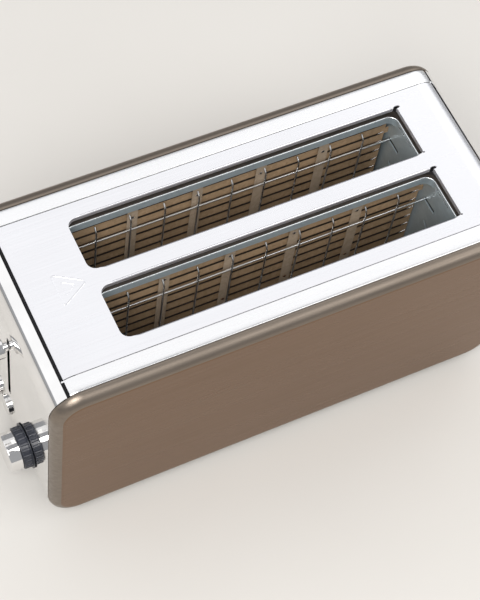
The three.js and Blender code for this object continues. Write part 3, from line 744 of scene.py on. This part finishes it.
def cover_skin(face, inward, gap, grow, steps=18):
    """(x, z) outline of an end cover's skin: under the base, up the face, in to the gap."""
    centre = face + inward * CORNER
    top = 90 - math.degrees(math.asin((CORNER - gap) / CORNER))
    low = arc((0, SHELL_BOTTOM + CORNER), CORNER - grow, -70, 0, steps)
    high = arc((0, DECK_TOP - CORNER), CORNER - grow, 0, top, steps)
    return [(centre - inward * a, z) for a, z in low + high]


def end_cover(face, inward, gap, cutters):
    outline = cover_skin(face, inward, gap, 0) + cover_skin(face, inward, gap, SHEET)[::-1]
    cover = prism("cover", outline, lambda a, b, c: (a, c, b), (-COVER_HALF, COVER_HALF), MIRROR)
    return smooth(settled(cut_away(cover, cutters), eased(0.2 * MM)))


def hole_along_x(y, z, radius, x, sides=40):
    outline = arc((y, z), radius, 0, 360 - 360 / sides, sides - 1)
    return prism("hole", outline, lambda a, b, c: (c, a, b), x, MIRROR)


def pressed_panel(side):
    """A dished panel: its edge rounds over evenly to the flat face."""
    def ring(inset, y):
        x = (LEFT + inset, RIGHT - inset)
        z = (SHELL_BOTTOM + inset, DECK_TOP - inset)
        return [(a, side * y, b) for a, b, _, _ in rounded_rect(x, z, CORNER - inset, 14)]

    def dish(skin):
        edge = PANEL_EDGE - skin
        for run, rise in arc((0, 0), 1, 0, 90, 14):
            yield ring(skin + edge * (1 - run), PANEL_SEAM + edge * rise)
        yield ring(skin + edge + 0.6 * MM, PANEL_SEAM + edge)

    outer, inner = list(dish(0)), list(dish(SHEET))
    loops = inner[::-1] + [ring(SHEET * 0.6, PANEL_SEAM), ring(0.35 * MM, PANEL_SEAM)] + outer[1:]
    panel = banded("panel", loops, PANEL)
    # The rounded bend gets the greyer copy and the flat face the warm one: painted reflection of sky and
    # floor.
    panel.materials.append(PANEL_BEND_PAINTED_REFLECTION)
    for face in panel.polygons:
        face.material_index = 0 if abs(face.normal.y) > NEARLY_FLAT else 1
    return smooth(panel, 60)


def pressed_mark():
    """Two nested triangles in fine lines that stand a little out of the deck."""
    centre = (-131.8 * MM, 0.9 * MM, DECK_TOP)
    outline = [(-7.5 * MM, 13.4 * MM), (-7.5 * MM, -13.4 * MM), (14.6 * MM, 0)]
    growth = Growth("pressed mark")
    line = growth.size("line width", 0.9 * MM)
    rounding = growth.size("corner radius", 1.6 * MM)
    curve = growth.add("GeometryNodeSetSplineCyclic", {"Geometry": growth.given(), "Cyclic": True})
    inputs = {"Curve": curve, "Radius": rounding, "Count": 6}
    curve = growth.add("GeometryNodeFilletCurve", inputs, mode="POLY")
    inputs = {"Resolution": 12, "Radius": growth.maths("MULTIPLY", line, 0.5)}
    profile = growth.add("GeometryNodeCurvePrimitiveCircle", inputs)
    swept = growth.add("GeometryNodeCurveToMesh", {"Curve": curve, "Profile Curve": profile})
    flat = growth.add("GeometryNodeTransform", {"Geometry": swept, "Scale": (1, 1, 0.55)})
    small = growth.add("GeometryNodeTransform", {"Geometry": flat, "Scale": (0.42, 0.42, 1)})
    whole = growth.move(growth.join(flat, small), centre)
    triangle = line_of("triangle", [(*p, 0) for p in outline])
    return smooth(growth.grow(whole, triangle, SATIN_DECK), 60)


# ------------------------------------------------------------------ heating chamber

def slot_liner():
    """The sheet under the deck: each slot's edge is rolled over and hangs as a flange."""
    top = liner_high.z
    x, y = (liner_low.x, liner_high.x), (liner_low.y, liner_high.y)
    border = [(x[0], y[0], top), (x[1], y[0], top), (x[1], y[1], top), (x[0], y[1], top)]
    depth = top - liner_low.z
    slots = []
    for side in SIDES.values():
        outline = rounded_rect(
            (SLOT_X - SLOT_HALF_X, SLOT_X + SLOT_HALF_X),
            (side * SLOT_Y - LINER_SLOT_HALF_Y, side * SLOT_Y + LINER_SLOT_HALF_Y),
            SLOT_CORNER,
        )
        slots.append(lip_loops(outline, top, lambda *_: 0.9 * MM, depth))
    skin = slotted_skin("liner", border, slots, LINER)
    sheet = settled(skin, ("SOLIDIFY", {"thickness": 0.6 * MM, "offset": -1}))
    slits = []
    slit_z = (top - 4.4 * MM, top - 3.4 * MM)
    end = (SLOT_X + SLOT_HALF_X - 3 * MM, SLOT_X + SLOT_HALF_X + 1.2 * MM)
    for side in SIDES.values():
        for offset, half in ((13, 1.8), (7.6, 1.5), (-1.5, 3.8)):
            middle = side * SLOT_Y + offset * MM
            slits.append(block("slit", end, (middle - half * MM, middle + half * MM), slit_z, LINER))
    liner = settled(cut_away(sheet, slits), eased(0.1 * MM))
    liner.materials.append(LINER_TOP_PAINTED_SHADE)
    liner.materials.append(ZINC)
    # Flat tops get the dark copy (painted shade), rolled rims the light copy (painted highlight), and
    # flanges plain zinc.
    for face in liner.polygons:
        rise = face.normal.z
        face.material_index = 1 if rise > 0.99 else 2 if rise < 0.25 else 0
    return smooth(liner)


def pierced_end():
    """The far end plate of the chamber, with the slanted slots below its guide slots."""
    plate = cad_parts["chamber_end_right"]
    mesh = plate.data.copy()
    mesh.transform(plate.matrix_world)
    mesh.materials.clear()
    mesh.materials.append(ZINC)
    low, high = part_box("chamber_end_right")
    reach = (low.x - MM, high.x + MM)
    slots = []
    for side in SIDES.values():
        y = side * SLOT_Y + 12 * MM
        outline = [(y - 4.4 * MM, 117.4 * MM), (y - 3 * MM, 115.2 * MM)]
        outline += [(y + 4.6 * MM, 121.4 * MM), (y + 3.4 * MM, 123.8 * MM)]
        slots.append(prism("slot", outline, lambda a, b, c: (c, a, b), reach, ZINC))
    return smooth(cut_away(facing_out(mesh), slots))


BOARD_ROWS = 11
ROW_PITCH = 11.6 * MM
STRAPS = 4
STRAP_PITCH = 52.6 * MM
TAB_LEVELS = (72 * MM, 150 * MM)
UPPER_EYELETS = 153.5 * MM
LOWER_EYELETS = 90.5 * MM


def heater_board(node_name, faces):
    """A mica board with its straps and their eyelets; faces are the sides with straps."""
    low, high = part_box(node_name)
    if len(faces) == 2:
        middle = (low.y + high.y) / 2
    elif faces[0] > 0:
        middle = low.y + 0.5 * MM
    else:
        middle = high.y - 0.5 * MM
    growth = Growth("heater board")
    length = growth.size("board length", 267 * MM)
    thickness = growth.size("board thickness", 1 * MM)
    height = growth.size("board height", high.z - low.z)
    pitch = growth.size("strap pitch", STRAP_PITCH)
    strap_width = growth.size("strap width", 8.4 * MM)
    eyelet = growth.size("eyelet radius", 1.5 * MM)
    board = growth.add("GeometryNodeMeshCube", {"Size": growth.combine(length, thickness, height)})
    tab_length = growth.maths("ADD", length, 10 * MM)
    tab_thickness = growth.maths("MULTIPLY", thickness, 0.9)
    tab = growth.add("GeometryNodeMeshCube", {"Size": growth.combine(tab_length, tab_thickness, 6 * MM)})
    board_z = (low.z + high.z) / 2
    parts = [growth.painted(board, MICA)]
    for tab_z in TAB_LEVELS:
        parts.append(growth.painted(growth.move(tab, (0, 0, tab_z - board_z)), MICA))
    strap_height = growth.maths("SUBTRACT", height, 4 * MM)
    strap_size = growth.combine(strap_width, 0.4 * MM, strap_height)
    strap = growth.add("GeometryNodeMeshCube", {"Size": strap_size})
    stud = growth.add("GeometryNodeMeshCylinder", {"Vertices": 20, "Radius": eyelet, "Depth": 1.5 * MM})
    # A thin dark disc on each eyelet's face stands for its open bore: painted shade.
    painted_bore_radius = growth.maths("MULTIPLY", eyelet, 0.55)
    hole = growth.add("GeometryNodeMeshCylinder", {"Vertices": 16, "Radius": painted_bore_radius, "Depth": 0.1 * MM})
    first = growth.maths("MULTIPLY", pitch, -1.5)
    for face in faces:
        depth = face * 1.6 * MM
        row = growth.row(STRAPS, growth.combine(first, depth), growth.combine(pitch))
        parts.append(growth.painted(growth.repeat(row, strap), STRAP))
        for level, rim in ((UPPER_EYELETS - board_z, WIRE), (LOWER_EYELETS - board_z, EYELET)):
            for shape, offset, paint in ((stud, 1.15 * MM, rim), (hole, 1.93 * MM, RIBBON)):
                start = growth.combine(first, face * offset, level)
                points = growth.row(STRAPS, start, growth.combine(pitch))
                upright = growth.move(shape, turn=(HALF_PI, 0, 0))
                parts.append(growth.painted(growth.repeat(points, upright), paint))
    whole = growth.move(growth.join(*parts), (SLOT_X, middle, board_z))
    return growth.grow(whole, nothing())


def ribbon_rows(node_name):
    """Flat resistance ribbon crossing a board in rows, each a little slack."""
    low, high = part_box(node_name)
    growth = Growth("ribbon rows")
    width = growth.size("ribbon width", 2.2 * MM)
    length = growth.size("ribbon length", high.x - low.x)
    pitch = growth.size("row pitch", ROW_PITCH)
    slack = growth.size("slack", 0.7 * MM)
    seed = growth.size("seed", 7)
    inputs = {"Size X": length, "Size Y": width, "Vertices X": 60, "Vertices Y": 2}
    ribbon = growth.add("GeometryNodeMeshGrid", inputs)
    ribbon = growth.move(ribbon, turn=(HALF_PI, 0, 0))
    start = growth.combine(0.0, 0.0, low.z + 1.1 * MM)
    rows = growth.repeat(growth.row(BOARD_ROWS, start, growth.combine(0.0, 0.0, pitch)), ribbon)
    rows = growth.add("GeometryNodeRealizeInstances", {"Geometry": rows})
    place = growth.add("GeometryNodeInputPosition")
    squeezed = growth.vector("MULTIPLY", place, (28, 1, 90))
    inputs = {"Vector": squeezed, "W": seed, "Scale": 1.0, "Detail": 1.0}
    wander = growth.add("ShaderNodeTexNoise", inputs, noise_dimensions="4D")
    lift = growth.maths("MULTIPLY", growth.maths("SUBTRACT", wander, 0.5), slack)
    offset = growth.combine(0.0, 0.0, lift)
    rows = growth.add("GeometryNodeSetPosition", {"Geometry": rows, "Offset": offset})
    depth = growth.size("ribbon depth", 0.25 * MM)
    rows = growth.add("GeometryNodeExtrudeMesh", {"Mesh": rows, "Offset Scale": depth, "Individual": False})
    tail_radius = growth.size("tail radius", 0.42 * MM)
    inputs = {"Start": (0, 0, 0), "End": (5.2 * MM, -0.3 * MM, 1.3 * MM)}
    tail = growth.wire(growth.add("GeometryNodeCurvePrimitiveLine", inputs), tail_radius, 8)
    first = growth.combine(growth.maths("MULTIPLY", length, 0.5), 0.0, low.z + 1.1 * MM)
    first = growth.vector("ADD", first, (-2.6 * MM, 0, 0))
    tails = growth.repeat(growth.row(BOARD_ROWS, first, growth.combine(0.0, 0.0, pitch)), tail)
    whole = growth.join(growth.painted(rows, RIBBON), growth.painted(tails, WIRE))
    whole = growth.move(whole, ((low.x + high.x) / 2, (low.y + high.y) / 2, 0))
    return facing_out(growth.grow(whole, nothing()))


# ------------------------------------------------------------------ bread guides and lift

GUIDE_BARS = 9
GUIDE_PITCH = 27.5 * MM
CROSS_WIRES = (144 * MM, 38 * MM)


def wire_guide(node_name, way):
    """Nine bent bars joined by two cross wires. `way` points from the slot's middle to it."""
    low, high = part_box(node_name)
    wire = 0.9 * MM
    wire_y = (high.y - 1.6 * MM - wire) if way > 0 else (low.y + 1.6 * MM + wire)
    bar_y = wire_y - way * 1.6 * MM
    bend = [(bar_y + way * (4.2 * MM - r), z) for r, z in arc((0, 156.8 * MM), 4.2 * MM, 0, 52, 8)]
    last = bend[-1]
    path = [(0, bar_y, 36.5 * MM), (0, bar_y, 100 * MM)] + [(0, y, z) for y, z in bend]
    path.append((0, last[0] + way * 2.0 * MM, last[1] + 1.9 * MM))
    growth = Growth("wire guide")
    radius = growth.size("wire radius", wire)
    count = growth.size("bars", GUIDE_BARS)
    pitch = growth.size("bar pitch", GUIDE_PITCH)
    span = growth.size("cross wire length", high.x - low.x)
    bar_radius = growth.size("bar radius", 0.72 * MM)
    bars = growth.wire(growth.given(), bar_radius)
    first = ((1 - GUIDE_BARS) / 2 * GUIDE_PITCH, 0, 0)
    bars = growth.repeat(growth.row(count, first, growth.combine(pitch)), bars)
    half = growth.maths("MULTIPLY", span, 0.5)
    minus_half = growth.maths("MULTIPLY", half, -1.0)
    parts = [bars]
    for level in CROSS_WIRES:
        start, end = growth.combine(minus_half, wire_y, level), growth.combine(half, wire_y, level)
        ends = {"Start": start, "End": end}
        parts.append(growth.wire(growth.add("GeometryNodeCurvePrimitiveLine", ends), radius))
    whole = growth.move(growth.join(*parts), (SLOT_X, 0, 0))
    return smooth(growth.grow(whole, line_of("bar", path), WIRE), 50)


def lift_spring():
    """The lift's spring at its rest length."""
    low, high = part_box("lift_spring")
    growth = Growth("lift spring")
    turns = growth.size("turns", 10.0)
    radius = growth.size("coil radius", 4 * MM)
    height = growth.size("height", high.z - low.z - 1.2 * MM)
    wire = growth.size("wire radius", 0.6 * MM)
    inputs = {"Resolution": 24, "Rotations": turns, "Height": height}
    inputs |= {"Start Radius": radius, "End Radius": radius}
    coil = growth.wire(growth.add("GeometryNodeCurveSpiral", inputs), wire, 8)
    place = ((low.x + high.x) / 2, (low.y + high.y) / 2, low.z + 0.6 * MM)
    return smooth(growth.grow(growth.move(coil, place), nothing(), WIRE), 60)


# ------------------------------------------------------------------ controls

def knob_grip(y, z):
    """The knob's ribbed ring on its thin skirt."""
    low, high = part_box("knob_ring")
    radius = 15.6 * MM
    skirt = 18 * MM
    depth = high.x - low.x
    core = turned("grip", [
        (0, 0.3 * MM), (skirt - 0.4 * MM, 0.3 * MM), (skirt, 0.6 * MM), (skirt, 1.0 * MM),
        (17.7 * MM, 1.25 * MM), (radius, 1.3 * MM), (radius, depth - 0.5 * MM),
        (radius - 0.5 * MM, depth + 0.2 * MM), (0, depth + 0.2 * MM),
    ], (LEFT, y, z), "-x", KNOB_BLACK, 96)
    growth = Growth("knob ribs")
    count = growth.size("ribs", 20)
    reach = growth.size("rib radius", 15.5 * MM)
    width = growth.size("rib width", 2.7 * MM)
    length = growth.size("rib length", depth - 1.8 * MM)
    inputs = {"Vertices": 16, "Radius": growth.maths("MULTIPLY", width, 0.5), "Depth": length}
    rib = growth.add("GeometryNodeMeshCylinder", inputs)
    rib = growth.add("GeometryNodeTransform", {"Geometry": rib, "Scale": (0.62, 1.0, 1.0)})
    points = growth.add("GeometryNodeMeshCircle", {"Vertices": count, "Radius": reach})
    place = growth.add("GeometryNodeInputPosition")
    turn = growth.add("FunctionNodeAlignRotationToVector", {"Vector": place}, axis="X")
    ring = growth.repeat(points, rib, Rotation=turn)
    ring = growth.move(ring, (LEFT - 1.3 * MM - (depth - 1.8 * MM) / 2, y, z), (0, HALF_PI, 0))
    ribs = growth.grow(ring, nothing(), KNOB_BLACK)
    return smooth(joined("grip", core, ribs), 40)


def knob_cap(y, z):
    """The polished cap, slightly dished at its face."""
    low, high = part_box("knob_cap")
    base, face = LEFT - high.x, LEFT - low.x
    radius = (high.y - low.y) / 2
    profile = [(0, base), (radius - 0.3 * MM, base), (radius, base + 0.3 * MM)]
    profile += [(radius - 1.1 * MM + a, face - 1.1 * MM + b) for a, b in arc((0, 0), 1.1 * MM, 0, 90, 6)]
    profile += [(radius - 2.2 * MM, face - 0.15 * MM), (radius * 0.5, face - 0.35 * MM)]
    profile += [(0, face - 0.4 * MM)]
    cap = turned("cap", profile, (LEFT, y, z), "-x", MIRROR, 96)
    return smooth(cap, 40)


def pointer_mark(y, z):
    """A short white line across the cap's side, beside the ring."""
    low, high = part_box("knob_cap")
    radius = (high.y - low.y) / 2
    loops = []
    ring_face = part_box("knob_ring")[0].x
    for x in (ring_face - 1.2 * MM, ring_face - 4.4 * MM):
        loop = [(x, y + a, z + b) for a, b in arc((0, 0), radius + 0.12 * MM, 84, 96, 6)]
        loop += [(x, y + a, z + b) for a, b in arc((0, 0), radius - 0.2 * MM, 96, 84, 6)]
        loops.append(loop)
    return smooth(banded("pointer", loops, POINTER), 40)


def lever_grip():
    """The lever's round grip on its thinner neck."""
    low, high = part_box("lever_handle")
    y, z = (low.y + high.y) / 2, (low.z + high.z) / 2
    reach = LEFT - low.x
    radius = (high.y - low.y) / 2
    neck = 3.3 * MM
    profile = [(0, 0.6 * MM), (neck - 0.3 * MM, 0.6 * MM), (neck, 0.9 * MM), (neck, 3.9 * MM)]
    profile += [(radius - 1.2 * MM, 3.9 * MM)]
    profile += [(radius - 0.9 * MM + a, 4.8 * MM + b) for a, b in arc((0, 0), 0.9 * MM, -90, 0, 5)]
    profile += [(radius - 1.4 * MM + a, reach - 1.4 * MM + b) for a, b in arc((0, 0), 1.4 * MM, 0, 90, 6)]
    profile += [(0, reach)]
    return smooth(turned("lever", profile, (LEFT, y, z), "-x", MIRROR, 72), 40)


def push_button(node_name):
    """A round button, dished at its face, with a collar that holds it behind the cover."""
    low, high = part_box(node_name)
    y, z = (low.y + high.y) / 2, (low.z + high.z) / 2
    radius = 8 * MM
    face = low.x - LEFT
    profile = [(0, face + 0.5 * MM), (radius * 0.55, face + 0.38 * MM)]
    profile += [(radius - 1.3 * MM, face + 0.05 * MM)]
    profile += [(radius - 0.8 * MM + a, face + 0.8 * MM - b) for a, b in arc((0, 0), 0.8 * MM, 90, 0, 5)]
    collar = radius + 1.2 * MM
    profile += [(radius, 2.4 * MM), (collar, 2.4 * MM), (collar, 4 * MM), (radius, 4 * MM)]
    profile += [(radius, high.x - LEFT), (0, high.x - LEFT)]
    return smooth(turned("button", profile, (LEFT, y, z), "+x", MIRROR, 64), 40)


# ------------------------------------------------------------------ base

def spread_copies(name, shape, names, finish):
    """Copies of one turned shape on the four spots where the frame has them."""
    boxes = [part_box(n) for n in names]
    middles = [((a.x + b.x) / 2, (a.y + b.y) / 2) for a, b in boxes]
    xs, ys = [m[0] for m in middles], [m[1] for m in middles]
    growth = Growth(name)
    along = growth.size("spacing along", max(xs) - min(xs))
    across = growth.size("spacing across", max(ys) - min(ys))
    spots = {"Size X": along, "Size Y": across, "Vertices X": 2, "Vertices Y": 2}
    spots = growth.add("GeometryNodeMeshGrid", spots)
    spots = growth.move(spots, (sum(xs) / len(xs), sum(ys) / len(ys), 0.0))
    return smooth(growth.grow(growth.repeat(spots, growth.given()), shape, finish), 40)


def foot_shape():
    top = 5.7 * MM
    profile = [(0, 0.3 * MM), (5.6 * MM, 0.3 * MM), (6.0 * MM, 0), (8 * MM, 0)]
    profile += [(8 * MM + a, MM + b) for a, b in arc((0, 0), MM, -90, 0, 4)]
    profile += [(9 * MM, top - 0.4 * MM), (8.6 * MM, top), (3 * MM, top), (3 * MM, 9.5 * MM), (0, 9.5 * MM)]
    return turned("foot", profile, (0, 0, 0), "+z", RUBBER, 48)


def screw_shape():
    """A pan-head screw with a cross recess."""
    profile = [(0, 4.25 * MM), (1.6 * MM, 4.3 * MM), (2.6 * MM, 4.55 * MM)]
    profile += [(3.3 * MM, 5.1 * MM), (3.4 * MM, 5.7 * MM)]
    profile += [(1.5 * MM, 5.7 * MM), (1.5 * MM, 14 * MM), (0, 14 * MM)]
    screw = turned("screw", profile, (0, 0, 0), "+z", SHEET_STEEL, 32)
    long, thin = (-1.8 * MM, 1.8 * MM), (-0.35 * MM, 0.35 * MM)
    depth = (3.5 * MM, 5.1 * MM)
    cross = [block("cross", x, y, depth, SHEET_STEEL) for x, y in ((long, thin), (thin, long))]
    return cut_away(screw, cross)


# ------------------------------------------------------------------ assembly

make_camera()

piece("deck", deck_top(), stands_for=["deck_plate"])
for name, side in SIDES.items():
    piece(f"{name}_rail", crowned_rail(side), stands_for=[f"deck_rail_{name}"])
    piece(f"{name}_panel", pressed_panel(side), stands_for=[f"side_panel_{name}"])

knob_low, knob_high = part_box("knob_cap")
KNOB_Y, KNOB_Z = (knob_low.y + knob_high.y) / 2, (knob_low.z + knob_high.z) / 2
through = (LEFT - 2 * MM, LEFT + 4 * MM)
lever_low, lever_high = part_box("lever_handle")
LEVER_Y, LEVER_Z = (lever_low.y + lever_high.y) / 2, (lever_low.z + lever_high.z) / 2
slot_y, slot_z = (LEVER_Y - 2.3 * MM, LEVER_Y + 2.3 * MM), (LEVER_Z - 74 * MM, LEVER_Z + 10 * MM)
slot_shape = rounded_rect(slot_y, slot_z, 2.25 * MM, 8)
control_cutters = [prism("lever slot", slot_shape, lambda a, b, c: (c, a, b), through, MIRROR)]
control_cutters.append(hole_along_x(KNOB_Y, KNOB_Z, 4 * MM, through))
for i in (1, 2, 3):
    low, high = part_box(f"button_{i}")
    control_cutters.append(hole_along_x((low.y + high.y) / 2, (low.z + high.z) / 2, 8.4 * MM, through, 64))
control_end = end_cover(LEFT, 1, LEFT_GAP - GAP_WIDTH, control_cutters)
piece("control_end", control_end, stands_for=["end_cover_left"])

gland_low, gland_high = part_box("cord_gland")
mouth = block("mouth", (RIGHT - CORNER, RIGHT + 2 * MM), (-56.5 * MM, 56.5 * MM), (0, 25 * MM), MIRROR)
gland_place = ((gland_low.y + gland_high.y) / 2, (gland_low.z + gland_high.z) / 2)
gland_hole = hole_along_x(*gland_place, 6.4 * MM, (RIGHT - 4 * MM, RIGHT + 2 * MM))
far_end = end_cover(RIGHT, -1, RIGHT_GAP - GAP_WIDTH, [mouth, gland_hole])
piece("far_end", far_end, stands_for=["end_cover_right"])

piece("pressed_mark", pressed_mark())
piece("far_end_plate", pierced_end(), stands_for=["chamber_end_right"])
piece("slot_liner", slot_liner(), stands_for=["chamber_top"])
boards = {"front": [1], "centre": [-1, 1], "back": [-1]}
for name, faces in boards.items():
    node_name = f"heater_board_{name}"
    piece(f"{name}_board", heater_board(node_name, faces), stands_for=[node_name])
for name in ("front", "centre_front", "centre_back", "back"):
    node_name = f"winding_{name}"
    piece(f"{name}_ribbon", ribbon_rows(node_name), stands_for=[node_name])

for name, side in SIDES.items():
    for place, way in (("outer", side), ("inner", -side)):
        node_name = f"guide_{name}_{place}"
        wires = wire_guide(node_name, way)
        piece(f"{name}_{place}_wires", wires, f"{node_name}_wire", [node_name])
piece("spring", lift_spring(), stands_for=["lift_spring"])

piece("knob_grip", knob_grip(KNOB_Y, KNOB_Z), "knob", ["knob_ring"])
piece("knob_dome", knob_cap(KNOB_Y, KNOB_Z), "knob", ["knob_cap"])
piece("knob_pointer", pointer_mark(KNOB_Y, KNOB_Z), "knob")
piece("lever", lever_grip(), "lift", ["lever_handle"])
for i, body in enumerate(("first_button", "second_button", "third_button"), 1):
    piece(body, push_button(f"button_{i}"), body, [f"button_{i}"])

foot_nodes = [f"foot_{i}" for i in (1, 2, 3, 4)]
screw_nodes = [f"base_screw_{i}" for i in (1, 2, 3, 4)]
feet = spread_copies("feet", foot_shape(), foot_nodes, RUBBER)
piece("feet", feet, stands_for=foot_nodes)
screws = spread_copies("screws", screw_shape(), screw_nodes, SHEET_STEEL)
piece("base_screws", screws, stands_for=screw_nodes)

KEPT_FINISHES = {
    "deck_frame": BLACK, "base_plate": BLACK, "potentiometer": BLACK, "cord_gland": BLACK,
    "chamber_end_left": ZINC, "chamber_shield_front": ZINC,
    "chamber_shield_back": ZINC, "spring_bracket": ZINC, "bread_lift_front": SHEET_STEEL,
    "bread_lift_back": SHEET_STEEL, "lift_carriage": SHEET_STEEL, "latch_armature": SHEET_STEEL,
    "crumb_tray": SHEET_STEEL, "guide_rod": WIRE, "electromagnet": COPPER, "knob_shaft": NYLON,
    "terminal_block": NYLON, "control_board": CIRCUIT,
}
for node_name, finish in KEPT_FINISHES.items():
    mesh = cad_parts[node_name].data
    mesh.materials.clear()
    mesh.materials.append(finish)

# ------------------------------------------------------------------ floor and light

floor_finish, floor_tree, floor_shader = blank_finish("pale floor")
mottle = noise(floor_tree, (6, 6, 6), 4)
floor_color = tone(floor_tree, mottle, (0.64, 0.62, 0.59), (0.61, 0.59, 0.56))
dress(floor_tree, floor_shader, floor_color, spread(floor_tree, mottle, 0.7, 0.8))
FLOOR_REACH = 9
floor_corners = [(x * FLOOR_REACH, y * FLOOR_REACH, 0) for x, y in ((-1, -1), (1, -1), (1, 1), (-1, 1))]
floor_mesh = mesh_of("floor", floor_corners, [(0, 1, 2, 3)], floor_finish)
floor = bpy.data.objects.new("floor", floor_mesh)
bpy.context.scene.collection.objects.link(floor)

world = bpy.data.worlds.new("studio")
world.use_nodes = True
sky = world.node_tree.nodes["Background"]
sky.inputs["Color"].default_value = (0.94, 0.96, 1.0, 1)
sky.inputs["Strength"].default_value = 0.42
bpy.context.scene.world = world
bpy.context.scene.view_settings.view_transform = "Standard"

soft_light("window", (0.5, 1.1, 2.3), (0.3, 0, 0.1), (4.4, 1.9), 17.5, (1.0, 0.99, 0.98))
soft_light("left panel", (-2.2, 0.9, 1.3), (-0.1, 0, 0.15), (1.6, 1.8), 7)
soft_light("left fill", (-1.2, -1.2, 2.6), (0, 0, 0.1), (1.6, 1.6), 72, (1.0, 0.985, 0.96))
soft_light("right fill", (1.7, -1.5, 2.1), (0, 0, 0.1), (2.4, 2.2), 30, (1.0, 0.985, 0.96))
soft_light("right panel", (2.1, 1.2, 1.5), (0.2, 0, 0.15), (1.6, 1.6), 6.5)
